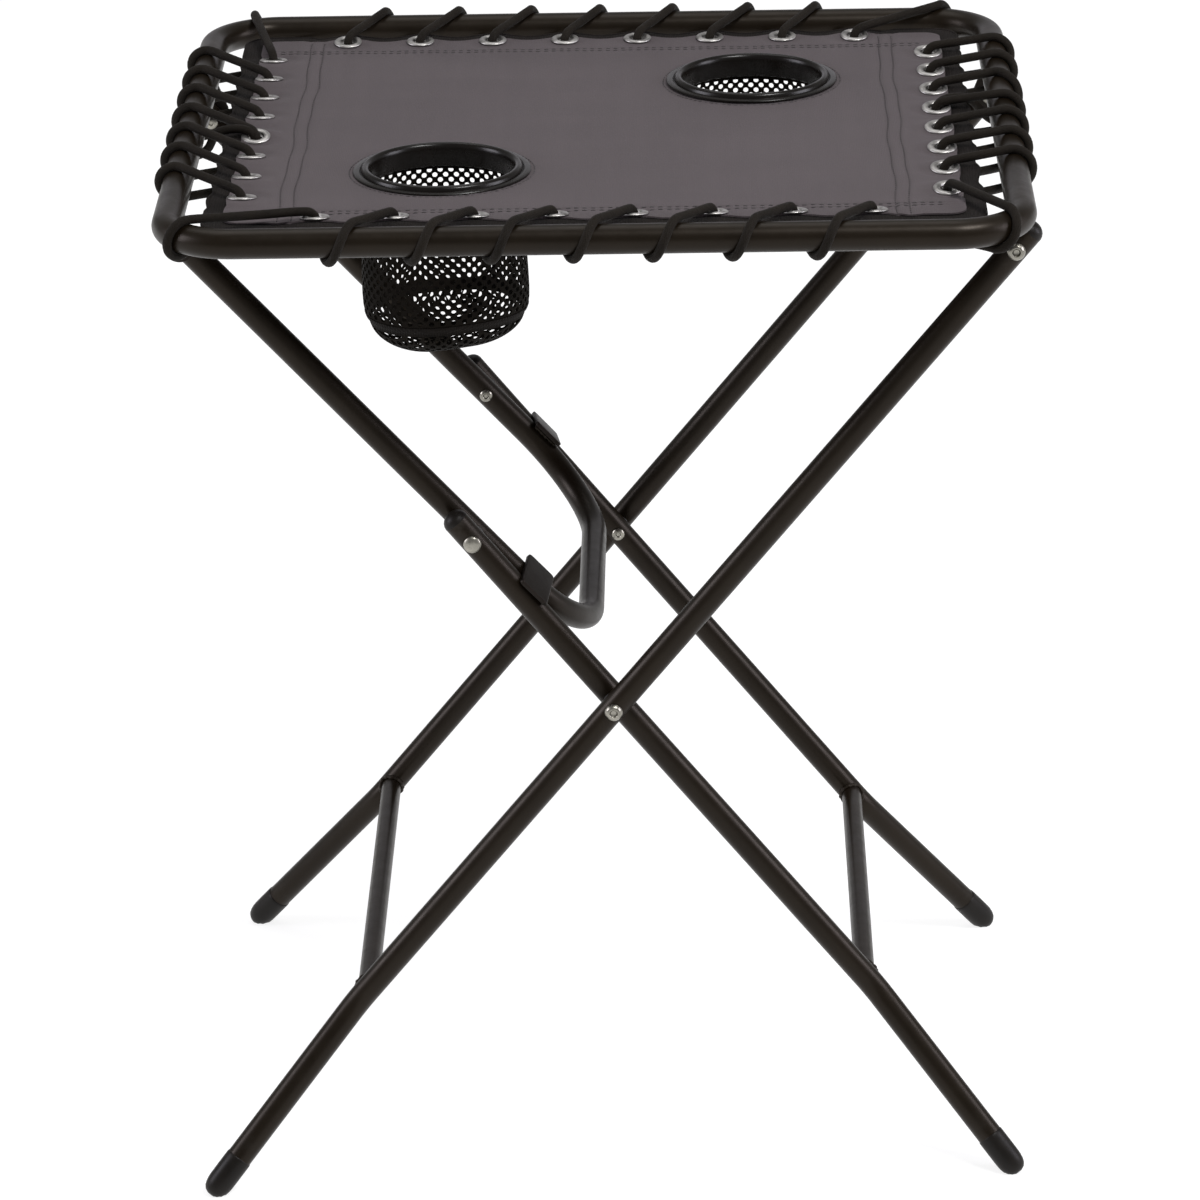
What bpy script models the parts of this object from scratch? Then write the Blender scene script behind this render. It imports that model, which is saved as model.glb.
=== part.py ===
# Folding side table: a laced sling top on a round-cornered tube frame, two
# pairs of crossed legs and a U-shaped lock bar, all folding flat as one
# four-bar linkage.  Metres, +Z up, +X along the long side, origin on the floor
# under the middle of the top.
import math

import bmesh
import bpy
from mathutils import Matrix, Vector

# ------------------------------------------------------------------ clean out
for ob in list(bpy.data.objects):
    bpy.data.objects.remove(ob, do_unlink=True)

# ------------------------------------------------------- driving dimensions, m
GAP = 0.0003

# tabletop frame
RAIL_D = 0.0180            # tube diameter of the top frame
RAIL_HX = 0.2520           # half length, centreline
RAIL_HY = 0.2340           # half depth, centreline
RAIL_RC = 0.0420           # corner radius, centreline
PIVOT_Z = 0.5982           # height of the two top pivots when open
PIVOT_DROP = 0.0300        # pivots lie this far below the frame centreline
PIVOT_X = 0.2500           # top pivots at +/- this
RAIL_Z = PIVOT_Z + PIVOT_DROP

# linkage
LEG_D = 0.0160
LEG_A = 0.3800             # outer leg: top pivot to crossing
LEG_B = 0.1340             # inner leg: crossing to knee
LINK_U = 0.2541            # lock bar: left pivot to knee
OPEN_A = math.radians(50.07)   # outer legs below horizontal when open
Y_A = 0.1670               # planes of the outer legs, inner legs, lock bar
Y_B = 0.1490
Y_U = 0.1310
A_TOP = 0.0130             # tube beyond the top pivot
B_TOP = 0.0155             # tube beyond the knee
U_TOP = 0.0120
U_BAR = 0.1035             # knee to the centre of the handle
U_RC = 0.0650              # corner radius of the handle
BAR_D = 0.0130             # crossbars
BAR_AT = 0.2440            # crossing to crossbar
BEND_AT = 0.2540           # crossing to the outward bend
SPLAY = math.radians(17.0)
FOOT_Z = 0.0085            # the tube ends this far above the floor

# sling
SL_HX, SL_HY = 0.2110, 0.1930
PANEL_X, PANEL_Y = 0.0087, 0.0060   # grey panel past the eyelet lines
BAND_X, BAND_Y = 0.0205, 0.0190     # dark edge band past the eyelet lines
BAND_IN = 0.0300
SL_T = 0.0012
SL_Z = RAIL_Z + 0.0018     # upper face of the grey panel
EYE_D = 0.0095
EYE_X = [-0.1645 + 0.0470 * i for i in range(8)]
EYE_Y = [-0.1505 + 0.0430 * i for i in range(8)]
CORD_D = 0.0055

# cup holders
CUP = {"left": (-0.0930, -0.0950), "right": (0.0965, 0.0950)}
CUP_HOLE = 0.0870
CUP_FLANGE = 0.1080
CUP_NECK = 0.0920
CUP_CUT = 0.0930
POUCH_D = 0.1020
POUCH_H = 0.1080
POUCH_T = 0.0012

# fasteners
RIVET_D = 0.0060
HOLE_D = 0.0066
HEAD_D = 0.0110
PLATE_T = 0.0025

# -------------------------------------------------------------- linkage points
P1 = Vector((PIVOT_X, PIVOT_Z))
P4 = Vector((-PIVOT_X, PIVOT_Z))
dir_a = Vector((-math.cos(OPEN_A), -math.sin(OPEN_A)))
P2 = P1 + LEG_A * dir_a


def circles_meet(c0, r0, c1, r1, side):
    d = c1 - c0
    L = d.length
    a = (r0 * r0 - r1 * r1 + L * L) / (2 * L)
    h = math.sqrt(max(r0 * r0 - a * a, 0.0))
    e = d / L
    return c0 + e * a + Vector((-e.y, e.x)) * h * side


P3 = circles_meet(P4, LINK_U, P2, LEG_B, 1.0)
dir_b = (P2 - P3).normalized()
dir_u = (P3 - P4).normalized()

# ------------------------------------------------------------------ containers
col = bpy.data.collections.new("folding_side_table")
bpy.context.scene.collection.children.link(col)
cut_col = bpy.data.collections.new("cutters")
bpy.context.scene.collection.children.link(cut_col)
cut_col.hide_render = True


def material(name, rgb, rough, metal=0.0):
    m = bpy.data.materials.new(name)
    m.use_nodes = True
    b = m.node_tree.nodes["Principled BSDF"]
    b.inputs["Base Color"].default_value = (*rgb, 1.0)
    b.inputs["Roughness"].default_value = rough
    b.inputs["Metallic"].default_value = metal
    m.diffuse_color = (*rgb, 1.0)
    return m


def paint(ob, rgb, rough, metal=0.0):
    ob.data.materials.clear()
    ob.data.materials.append(material(ob.name + "_mat", rgb, rough, metal))


BLACK = ((0.018, 0.016, 0.015), 0.38, 0.15)
PLASTIC = ((0.012, 0.012, 0.012), 0.45, 0.0)
STEEL = ((0.55, 0.53, 0.50), 0.35, 0.9)
GREY = ((0.105, 0.095, 0.100), 0.85, 0.0)
DARK = ((0.015, 0.014, 0.013), 0.80, 0.0)


def empty(name, x, z):
    e = bpy.data.objects.new(name, None)
    e.location = (x, 0.0, z)
    e.empty_display_size = 0.03
    col.objects.link(e)
    return e


EMPTY = {
    "top": empty("tabletop_origin", 0.0, RAIL_Z),
    "a": empty("outer_legs_pivot", P1.x, P1.y),
    "b": empty("inner_legs_pivot", P2.x, P2.y),
    "u": empty("lock_bar_pivot", P4.x, P4.y),
}
bpy.context.view_layer.update()


def adopt(ob, who, look):
    e = EMPTY[who]
    ob.parent = e
    ob.matrix_parent_inverse = e.matrix_world.inverted()
    paint(ob, *look)
    return ob


# -------------------------------------------------------------------- builders
def curve_object(name, splines, dims="3D"):
    cu = bpy.data.curves.new(name, "CURVE")
    cu.dimensions = dims
    for pts, cyclic in splines:
        sp = cu.splines.new("POLY")
        sp.points.add(len(pts) - 1)
        for p, q in zip(sp.points, pts):
            p.co = (*q, 0.0, 1.0) if len(q) == 2 else (*q, 1.0)
        sp.use_cyclic_u = cyclic
    ob = bpy.data.objects.new(name, cu)
    col.objects.link(ob)
    return ob


def as_mesh(ob):
    """Freeze a curve object into a welded mesh object of the same name."""
    bpy.context.view_layer.update()
    dg = bpy.context.evaluated_depsgraph_get()
    me = bpy.data.meshes.new_from_object(ob.evaluated_get(dg))
    bm = bmesh.new()
    bm.from_mesh(me)
    bmesh.ops.remove_doubles(bm, verts=bm.verts, dist=0.000002)
    bmesh.ops.recalc_face_normals(bm, faces=bm.faces)
    bm.to_mesh(me)
    bm.free()
    name, mw = ob.name, ob.matrix_world.copy()
    bpy.data.objects.remove(ob, do_unlink=True)
    new = bpy.data.objects.new(name, me)
    new.matrix_world = mw
    col.objects.link(new)
    return new


def smooth(ob, angle=40.0):
    ob.data.shade_smooth()
    ob.data.set_sharp_from_angle(angle=math.radians(angle))
    return ob


def tube(name, pts, diameter, cyclic=False, res=4):
    ob = curve_object(name, [(pts, cyclic)])
    ob.data.bevel_depth = diameter / 2
    ob.data.bevel_resolution = res
    ob.data.use_fill_caps = not cyclic
    return smooth(as_mesh(ob))


def plate(name, splines, thickness, matrix=None):
    ob = curve_object(name, [(s, True) for s in splines], "2D")
    ob.data.fill_mode = "BOTH"
    ob.data.extrude = thickness / 2
    if matrix is not None:
        ob.matrix_world = matrix
    return smooth(as_mesh(ob), 30.0)


def turned(name, profile, steps, matrix=None, closed=False, to=None):
    """Screw a profile of (radius, height) pairs, top to bottom, about Z."""
    me = bpy.data.meshes.new(name)
    bm = bmesh.new()
    vs = [bm.verts.new((r, 0.0, h)) for r, h in profile]
    for a, b in zip(vs, vs[1:]):
        bm.edges.new((a, b))
    if closed:
        bm.edges.new((vs[-1], vs[0]))
    bm.to_mesh(me)
    bm.free()
    ob = bpy.data.objects.new(name, me)
    (to or col).objects.link(ob)
    m = ob.modifiers.new("Screw", "SCREW")
    m.axis = "Z"
    m.angle = 2 * math.pi
    m.steps = steps
    m.render_steps = steps
    m.use_merge_vertices = True
    m.merge_threshold = 0.00001
    m.use_smooth_shade = True
    if matrix is not None:
        ob.matrix_world = matrix
    return ob


def along(axis, at):
    """Matrix that stands local +Z on the given direction at a point."""
    q = Vector((0, 0, 1)).rotation_difference(Vector(axis).normalized())
    return Matrix.Translation(Vector(at)) @ q.to_matrix().to_4x4()


def cutter(ob):
    for c in list(ob.users_collection):
        c.objects.unlink(ob)
    cut_col.objects.link(ob)
    ob.hide_render = True
    ob.display_type = "WIRE"
    return ob


def rod_cutter(name, diameter, length, axis, at, sides=12):
    me = bpy.data.meshes.new(name)
    bm = bmesh.new()
    bmesh.ops.create_cone(bm, cap_ends=True, segments=sides,
                          radius1=diameter / 2, radius2=diameter / 2, depth=length)
    bm.to_mesh(me)
    bm.free()
    ob = bpy.data.objects.new(name, me)
    ob.matrix_world = along(axis, at)
    cut_col.objects.link(ob)
    return cutter(ob)


def minus(ob, other):
    m = ob.modifiers.new("Cut", "BOOLEAN")
    m.operation = "DIFFERENCE"
    m.object = other
    return ob


def arc(cx, cy, r, a0, a1, n):
    return [(cx + r * math.cos(a0 + (a1 - a0) * i / n),
             cy + r * math.sin(a0 + (a1 - a0) * i / n)) for i in range(n + 1)]


def round_rect(hx, hy, r, n):
    pts = []
    for cx, cy, a in ((hx - r, hy - r, 0), (-hx + r, hy - r, 90),
                      (-hx + r, -hy + r, 180), (hx - r, -hy + r, 270)):
        pts += arc(cx, cy, r, math.radians(a), math.radians(a + 90), n)
    return pts


def ring2(cx, cy, d, n, phase=0.5):
    return [(cx + d / 2 * math.cos(2 * math.pi * (i + phase) / n),
             cy + d / 2 * math.sin(2 * math.pi * (i + phase) / n)) for i in range(n)]


# ------------------------------------------------------------- tabletop: frame
rail_line = [(x, y, RAIL_Z) for x, y in round_rect(RAIL_HX, RAIL_HY, RAIL_RC, 7)]
adopt(tube("top_frame_tube", rail_line, RAIL_D, cyclic=True), "top", BLACK)

# ------------------------------------------------------------- tabletop: sling
eyes = []
for x in EYE_X:
    eyes += [(x, SL_HY - 0.0005), (x, -SL_HY + 0.0005)]
for y in EYE_Y:
    eyes += [(SL_HX - 0.0005, y), (-SL_HX + 0.0005, y)]
# the eyelets sit over the edge of the grey panel, so it is scalloped by them
panel_out = round_rect(SL_HX + PANEL_X, SL_HY + PANEL_Y, 0.0110, 4)
cups = [ring2(cx, cy, CUP_CUT, 24) for cx, cy in CUP.values()]
holes = [ring2(x, y, EYE_D, 6) for x, y in eyes]
adopt(plate("sling_panel", [panel_out] + cups + holes, SL_T,
            Matrix.Translation((0, 0, SL_Z - SL_T / 2))), "top", GREY)
band_out = round_rect(SL_HX + BAND_X, SL_HY + BAND_Y, 0.0180, 4)
band_in = round_rect(SL_HX - BAND_IN, SL_HY - BAND_IN, 0.0100, 2)
adopt(plate("edge_band", [band_out, band_in] + holes, SL_T,
            Matrix.Translation((0, 0, SL_Z - 1.5 * SL_T - GAP))), "top", DARK)

# ------------------------------------------------------- tabletop: cup holders
for side, (cx, cy) in CUP.items():
    at = Matrix.Translation((cx, cy, SL_Z))
    ri, rn, rf = CUP_HOLE / 2, CUP_NECK / 2, CUP_FLANGE / 2
    ring = [(ri + 0.0015, 0.0045), (ri + 0.0035, 0.0045), (rf - 0.0015, 0.0028),
            (rf, 0.0012), (rf, GAP), (rn, GAP), (rn, -0.0100), (ri, -0.0100),
            (ri, 0.0030)]
    adopt(turned("cup_ring_" + side, ring, 28, at, closed=True), "top", PLASTIC)
    clamp = [(rn + GAP, -SL_T - GAP), (rf - 0.0005, -SL_T - GAP),
             (rf - 0.0005, -0.0045), (rn + GAP, -0.0045)]
    adopt(turned("retaining_ring_" + side, clamp, 28, at, closed=True), "top", PLASTIC)
    rp = POUCH_D / 2
    top, low = -0.0045 - GAP, -POUCH_H
    cor = 0.0220
    outer = [(rp, top), (rp, -0.0400), (rp, -0.0760), (rp, low + cor)]
    outer += [(rp - cor + cor * math.cos(a), low + cor - cor * math.sin(a))
              for a in (math.radians(22.5), math.radians(45), math.radians(67.5))]
    outer += [(rp - cor, low), (0.0, low - 0.0030)]
    inner = [(0.0, low - 0.0030 + POUCH_T), (rp - cor, low + POUCH_T)]
    ci = cor - POUCH_T
    inner += [(rp - cor + ci * math.cos(a), low + cor - ci * math.sin(a))
              for a in (math.radians(67.5), math.radians(45), math.radians(22.5))]
    inner += [(rp - POUCH_T, low + cor), (rp - POUCH_T, -0.0760),
              (rp - POUCH_T, -0.0400), (rp - POUCH_T, top)]
    # one line from the floor of the cup up the inside, over the rim and down
    adopt(turned("mesh_pouch_" + side, inner + outer, 24, at), "top", DARK)

# ----------------------------------------------------------- tabletop: lacing
RW = RAIL_D / 2 + CORD_D / 2 + 0.0011


def rail_at(s):
    """Point and outward normal of the frame centreline at parameter s.

    s counts straight sides as 0..1 and corners as the next 0..1: far side
    0-1 (towards +X), far right corner 1-2, right side 2-3 (towards -Y), near
    right corner 3-4, near side 4-5 (towards -X), near left corner 5-6, left
    side 6-7 (towards +Y), far left corner 7-8.
    """
    s = s % 8
    k = int(s)
    f = s - k
    hx, hy, r = RAIL_HX - RAIL_RC, RAIL_HY - RAIL_RC, RAIL_RC
    if k == 0:
        return Vector((-hx + 2 * hx * f, RAIL_HY)), Vector((0, 1))
    if k == 2:
        return Vector((RAIL_HX, hy - 2 * hy * f)), Vector((1, 0))
    if k == 4:
        return Vector((hx - 2 * hx * f, -RAIL_HY)), Vector((0, -1))
    if k == 6:
        return Vector((-RAIL_HX, -hy + 2 * hy * f)), Vector((-1, 0))
    cx, cy, a0 = {1: (hx, hy, 90), 3: (hx, -hy, 0), 5: (-hx, -hy, -90),
                  7: (-hx, hy, 180)}[k]
    a = math.radians(a0 - 90 * f)
    n = Vector((math.cos(a), math.sin(a)))
    return Vector((cx, cy)) + n * r, n


def side_s(side, x, y):
    hx, hy = RAIL_HX - RAIL_RC, RAIL_HY - RAIL_RC
    if side == "far":
        return 0 + (x + hx) / (2 * hx)
    if side == "right":
        return 2 + (hy - y) / (2 * hy)
    if side == "near":
        return 4 + (hx - x) / (2 * hx)
    return 6 + (y + hy) / (2 * hy)


def on_rail(s, deg):
    c, n = rail_at(s)
    a = math.radians(deg)
    p = c - n * RW * math.cos(a)
    return Vector((p.x, p.y, RAIL_Z + RW * math.sin(a)))


LIFT = 0.0052              # cord centre above and below the sling at an eyelet


def wrap(g0, s_top, s_low, g1, first=False, last=None):
    """One turn: up through eyelet g0, over and round the frame, to under g1."""
    c, n = rail_at(s_top)
    a = Vector((g0[0], g0[1], SL_Z))
    out = (Vector((c.x, c.y, 0)) - Vector((a.x, a.y, 0))).normalized()
    pts = []
    if first:
        pts.append(a + Vector((0, 0, -0.0090)))
    pts += [a + Vector((0, 0, -0.0022)), a + out * 0.0010 + Vector((0, 0, LIFT - 0.0008))]
    # leave the eyelet above the edge of the panel, then meet the frame on top
    pts.append(a + out * 0.0100 + Vector((0, 0, LIFT + 0.0005)))
    for i, deg in enumerate((82, 116, 150, 184, 218, 252, 286)):
        pts.append(on_rail(s_top + (s_low - s_top) * i / 6, deg))
    if last is None:
        b = Vector((g1[0], g1[1], SL_Z))
        c, n = rail_at(s_low)
        back = (Vector((c.x, c.y, 0)) - Vector((b.x, b.y, 0))).normalized()
        pts.append(b + back * 0.0100 + Vector((0, 0, -LIFT - 0.0042)))
        pts.append(b + back * 0.0010 + Vector((0, 0, -LIFT - 0.0036)))
    return pts


far = [(x, SL_HY - 0.0005) for x in EYE_X]
right = [(SL_HX - 0.0005, y) for y in reversed(EYE_Y)]
near = [(x, -SL_HY + 0.0005) for x in reversed(EYE_X)]
left = [(-SL_HX + 0.0005, y) for y in EYE_Y]


def side_wraps(side, eyes_, lo, hi, special=None):
    out = []
    for j in range(len(eyes_) - 1):
        s0 = side_s(side, *eyes_[j])
        s1 = side_s(side, *eyes_[j + 1])
        a, b = (special or {}).get(j, (lo, hi))
        out.append((eyes_[j], s0 + (s1 - s0) * a, s0 + (s1 - s0) * b, eyes_[j + 1]))
    return out


# the lowest point of a turn keeps clear of the pivot plates on the short sides
turns_far = side_wraps("far", far, 0.48, 0.72)
turns_right = side_wraps("right", right, -0.15, -0.08, special={0: (-0.02, 0.04),
                                                                    2: (-0.15, 0.62), 3: (0.02, 0.10)})
turns_near = side_wraps("near", near, 0.45, 0.80)
turns_left = side_wraps("left", left, 0.88, 1.15)
corner_fr = (far[7], 1.16, 1.30, right[0])
corner_nr = (right[7], 3.43, 3.62, near[0])
corner_nl = (near[7], 5.46, 5.58, left[0])
corner_fl = (left[7], 7.72, 7.95, far[0])
MID = 3                    # the two cords meet at this eyelet of each short side


def lace(name, turns, end_eye):
    pts = []
    for i, (g0, st, sl, g1) in enumerate(turns):
        pts += wrap(g0, st, sl, g1, first=(i == 0), last=(i == len(turns) - 1) or None)
    # the last turn comes up inside the frame and lies down on the panel edge
    g0, st, sl, g1 = turns[-1]
    pts.append(on_rail(sl + 0.02, 330))
    e = Vector((end_eye[0], end_eye[1], SL_Z))
    c, n = rail_at(sl)
    back = (Vector((c.x, c.y, 0)) - Vector((e.x, e.y, 0))).normalized()
    pts.append(e + back * 0.0230 + Vector((0, 0, LIFT)))
    pts.append(e + back * 0.0155 + Vector((0, 0, LIFT)))
    return adopt(tube(name, pts, CORD_D, res=1), "top", DARK)


lace("lace_front", turns_right[MID:] + [corner_nr] + turns_near + [corner_nl]
     + turns_left[:MID], left[MID])
lace("lace_rear", turns_left[MID:] + [corner_fl] + turns_far + [corner_fr]
     + turns_right[:MID], right[MID])


# ------------------------------------------------------------------- brackets
def xz_plate(name, splines, thickness, y):
    """A flat plate standing in an XZ plane."""
    return plate(name, splines, thickness,
                 Matrix.Translation((0, y, 0)) @ Matrix.Rotation(math.radians(90), 4, "X"))


def bracket(name, rail_x, piv, y):
    r = RAIL_D / 2 + GAP
    a0, a1 = math.radians(236), math.radians(304)
    pts = arc(rail_x, RAIL_Z, r, a0, a1, 4)
    pts += [(piv.x + 0.0100, piv.y + 0.0040)]
    pts += arc(piv.x, piv.y, 0.0100, math.radians(0), math.radians(-180), 7)
    pts += [(piv.x - 0.0100, piv.y + 0.0040)]
    ob = xz_plate(name, [pts, ring2(piv.x, piv.y, HOLE_D, 12)], PLATE_T, y)
    return adopt(ob, "top", BLACK)


Y_BA = Y_A - LEG_D / 2 - GAP - PLATE_T / 2
Y_BU = Y_U + LEG_D / 2 + GAP + PLATE_T / 2
for tag, sg in (("front", -1), ("rear", 1)):
    bracket("leg_bracket_" + tag, RAIL_HX, P1, sg * Y_BA)
    bracket("bar_bracket_" + tag, -RAIL_HX, P4, sg * Y_BU)


# ----------------------------------------------------------------------- legs
def leg_path(origin, d, above, sg, y):
    """Tube centreline: top end, bend, splayed foot, in world coordinates."""
    pts = []
    top = origin - d * above
    pts.append((top.x, sg * y, top.y))
    bend = P2 + d * BEND_AT
    rb = 0.060             # bend radius
    t = rb * math.tan(SPLAY / 2)
    n = 5
    for i in range(n + 1):
        a = SPLAY * i / n
        s = -t + rb * math.sin(a)
        o = rb * (1 - math.cos(a))
        q = bend + d * s
        pts.append((q.x, sg * (y + o), q.y))
    last = Vector(pts[-1])
    run = Vector((d.x * math.cos(SPLAY), sg * math.sin(SPLAY), d.y * math.cos(SPLAY)))
    k = (last.z - FOOT_Z) / -run.z
    pts.append(tuple(last + run * k))
    return pts, run


def drill(ob, at, y):
    return minus(ob, rod_cutter("cut_" + ob.name + "_%03d" % round(1000 * at.x), HOLE_D, 0.03,
                                (0, 1, 0), (at.x, y, at.y)))


CAP_OUT, CAP_IN = 0.0190, LEG_D + 2 * GAP


def foot_cap(name, end, run, who):
    # sleeve with a blind bore, closed below, cut level with the floor
    ro, ri = CAP_OUT / 2, CAP_IN / 2
    prof = [(0.0, 0.0120), (ro - 0.0022, 0.0085), (ro, 0.0030), (ro, -0.0205),
            (ro - 0.0012, -0.0220), (ri, -0.0220), (ri, GAP), (0.0, GAP)]
    ob = turned(name, prof, 16, along(run, end))
    box = bpy.data.meshes.new("cut_" + name)
    bm = bmesh.new()
    bmesh.ops.create_cube(bm, size=0.08)
    bm.to_mesh(box)
    bm.free()
    cb = bpy.data.objects.new("cut_" + name, box)
    cb.location = (end.x, end.y, -0.04)
    cut_col.objects.link(cb)
    cutter(cb)
    return adopt(minus(ob, cb), who, PLASTIC)


def end_cap(name, end, d, who):
    r = LEG_D / 2
    prof = [(0.0, 0.0070), (r * 0.40, 0.0064), (r * 0.75, 0.0048),
            (r, 0.0020), (r, GAP), (0.0, GAP)]
    return adopt(turned(name, prof, 12, along(d, end)), who, PLASTIC)


def leg_pair(word, who, origin, d, above, y, holes):
    for tag, sg in (("front", -1), ("rear", 1)):
        pts, run = leg_path(origin, d, above, sg, y)
        ob = tube("%s_leg_%s" % (word, tag), pts, LEG_D)
        for h in holes:
            drill(ob, h, sg * y)
        adopt(ob, who, BLACK)
        foot_cap("%s_foot_cap_%s" % (word, tag), Vector(pts[-1]), run, who)
        end_cap("%s_end_cap_%s" % (word, tag), Vector(pts[0]), (-d.x, 0, -d.y), who)
    bar = P2 + d * BAR_AT
    w = y - LEG_D / 2 - GAP
    adopt(tube("%s_crossbar" % word, [(bar.x, -w, bar.y), (bar.x, w, bar.y)], BAR_D),
          who, BLACK)


leg_pair("outer", "a", P1, dir_a, A_TOP, Y_A, (P1, P2))
leg_pair("inner", "b", P3, dir_b, B_TOP, Y_B, (P3, P2))

# -------------------------------------------------------------------- lock bar
u_end = P3 + dir_u * U_BAR
u_top = P4 - dir_u * U_TOP
upts = [(u_top.x, -Y_U, u_top.y)]
n = 7
for i in range(n + 1):
    a = math.radians(90) * i / n
    q = u_end - dir_u * (U_RC - U_RC * math.sin(a))
    upts.append((q.x, -Y_U + U_RC * (1 - math.cos(a)), q.y))
upts += [(x, -y, z) for x, y, z in reversed(upts)]
bar = tube("lock_bar", upts, LEG_D)
for sg in (-1, 1):
    for nm, at in (("piv", P4), ("knee", P3)):
        minus(bar, rod_cutter("cut_bar_%s_%d" % (nm, sg), HOLE_D, 0.024, (0, 1, 0),
                              (at.x, sg * Y_U, at.y)))
adopt(bar, "u", BLACK)

# stop plates: on the bar's upper side, reaching over the inner legs
TAB_AT, TAB_L, TAB_W, TAB_T = 0.0475, 0.0220, 0.0360, 0.0028
nu = Vector((-dir_u.y, dir_u.x))           # upper right side of the bar
nb = Vector((-dir_b.y, dir_b.x))
for tag, sg in (("front", -1), ("rear", 1)):
    on_u = P3 + dir_u * TAB_AT + nu * (LEG_D / 2 + GAP)
    on_b = P3 + dir_b * TAB_AT + nb * (LEG_D / 2 + GAP)
    pu = Vector((on_u.x, sg * Y_U, on_u.y))
    pb = Vector((on_b.x, sg * Y_B, on_b.y))
    across = (pb - pu).normalized()
    lengthwise = Vector((dir_u.x, 0, dir_u.y))
    up = lengthwise.cross(across).normalized()
    if up.z < 0:
        up = -up
    lengthwise = across.cross(up).normalized()
    rot = Matrix((across, lengthwise, up)).transposed().to_4x4()
    if rot.determinant() < 0:
        rot = Matrix((across, -lengthwise, up)).transposed().to_4x4()
    mid = (pu + pb) / 2 + up * (TAB_T / 2 + 0.00025)
    mid = Vector((mid.x, mid.y, mid.z))
    me = bpy.data.meshes.new("stop_plate_" + tag)
    bm = bmesh.new()
    bmesh.ops.create_cube(bm, size=1.0)
    bmesh.ops.scale(bm, vec=(TAB_W, TAB_L, TAB_T), verts=bm.verts)
    bm.to_mesh(me)
    bm.free()
    ob = bpy.data.objects.new("stop_plate_" + tag, me)
    ob.matrix_world = Matrix.Translation(mid) @ rot
    col.objects.link(ob)
    bv = ob.modifiers.new("Bevel", "BEVEL")
    bv.width = 0.0008
    bv.segments = 1
    adopt(ob, "u", BLACK)


# --------------------------------------------------------------------- rivets
def dome(h=0.0030):
    r = HEAD_D / 2
    return [(0.0, h), (r * 0.45, h * 0.90), (r * 0.80, h * 0.58), (r, h * 0.12), (r, 0.0)]


def rivet(name, at, y_out, y_in, sg, who, head=True, tail=True):
    """Shank along Y from y_out (head seat) to y_in (clench seat)."""
    L = y_out - y_in
    rs, rt = RIVET_D / 2, 0.0038
    prof = (dome() if head else [(0.0, 0.0)]) + [(rs, 0.0)]
    if tail:
        prof += [(rs, -L), (rt, -L), (rt, -L - 0.0014), (0.0, -L - 0.0018)]
    else:
        prof += [(rs, -L), (0.0, -L)]
    ob = turned(name, prof, 12, along((0, sg, 0), (at.x, sg * y_out, at.y)))
    return adopt(ob, who, STEEL)


def washer(name, at, y, sg, who, t=0.0014, d=0.0130):
    prof = [(HOLE_D / 2, t / 2), (d / 2, t / 2), (d / 2, -t / 2), (HOLE_D / 2, -t / 2)]
    ob = turned(name, prof, 12, along((0, sg, 0), (at.x, sg * y, at.y)), closed=True)
    return adopt(ob, who, PLASTIC)


R = LEG_D / 2
for tag, sg in (("front", -1), ("rear", 1)):
    rivet("top_rivet_" + tag, P1, Y_A + R + GAP, Y_BA - PLATE_T / 2 - GAP, sg, "top")
    rivet("cross_rivet_" + tag, P2, Y_A + R + GAP, Y_B - R - GAP, sg, "a")
    washer("cross_washer_" + tag, P2, (Y_A + Y_B) / 2, sg, "a")
    rivet("knee_rivet_head_" + tag, P3, Y_B + R + GAP, Y_U + R + 0.0006, sg, "b", tail=False)
    rivet("knee_rivet_tail_" + tag, P3, Y_U + R, Y_U - R - GAP, sg, "u", head=False)
    washer("knee_washer_" + tag, P3, (Y_B + Y_U) / 2, sg, "b")
    rivet("bar_rivet_" + tag, P4, Y_BU + PLATE_T / 2 + GAP, Y_U - R - GAP, sg, "top")
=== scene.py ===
import math

import bmesh
import bpy
import numpy as np
from mathutils import Matrix, Vector
from mathutils.geometry import delaunay_2d_cdt


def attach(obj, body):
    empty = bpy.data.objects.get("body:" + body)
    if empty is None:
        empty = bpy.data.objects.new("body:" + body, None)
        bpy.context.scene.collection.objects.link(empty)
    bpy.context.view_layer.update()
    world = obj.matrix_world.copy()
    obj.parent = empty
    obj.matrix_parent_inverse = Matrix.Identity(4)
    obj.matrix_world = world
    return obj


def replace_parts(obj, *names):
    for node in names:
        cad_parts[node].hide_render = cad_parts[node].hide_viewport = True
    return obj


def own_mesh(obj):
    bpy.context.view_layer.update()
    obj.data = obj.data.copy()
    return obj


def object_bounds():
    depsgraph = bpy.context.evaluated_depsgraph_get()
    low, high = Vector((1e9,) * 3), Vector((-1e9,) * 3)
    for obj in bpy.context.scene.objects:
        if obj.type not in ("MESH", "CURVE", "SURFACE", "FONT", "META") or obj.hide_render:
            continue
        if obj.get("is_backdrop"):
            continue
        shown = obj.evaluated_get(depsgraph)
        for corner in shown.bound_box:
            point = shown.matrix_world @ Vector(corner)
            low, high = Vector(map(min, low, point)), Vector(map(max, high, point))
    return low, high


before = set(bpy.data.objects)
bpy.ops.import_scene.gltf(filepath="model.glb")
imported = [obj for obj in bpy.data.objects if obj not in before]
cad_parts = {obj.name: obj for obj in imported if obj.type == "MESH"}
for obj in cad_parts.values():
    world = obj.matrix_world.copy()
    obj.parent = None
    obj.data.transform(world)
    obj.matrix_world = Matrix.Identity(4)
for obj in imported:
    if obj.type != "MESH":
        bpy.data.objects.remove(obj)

BOX_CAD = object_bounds()

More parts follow.
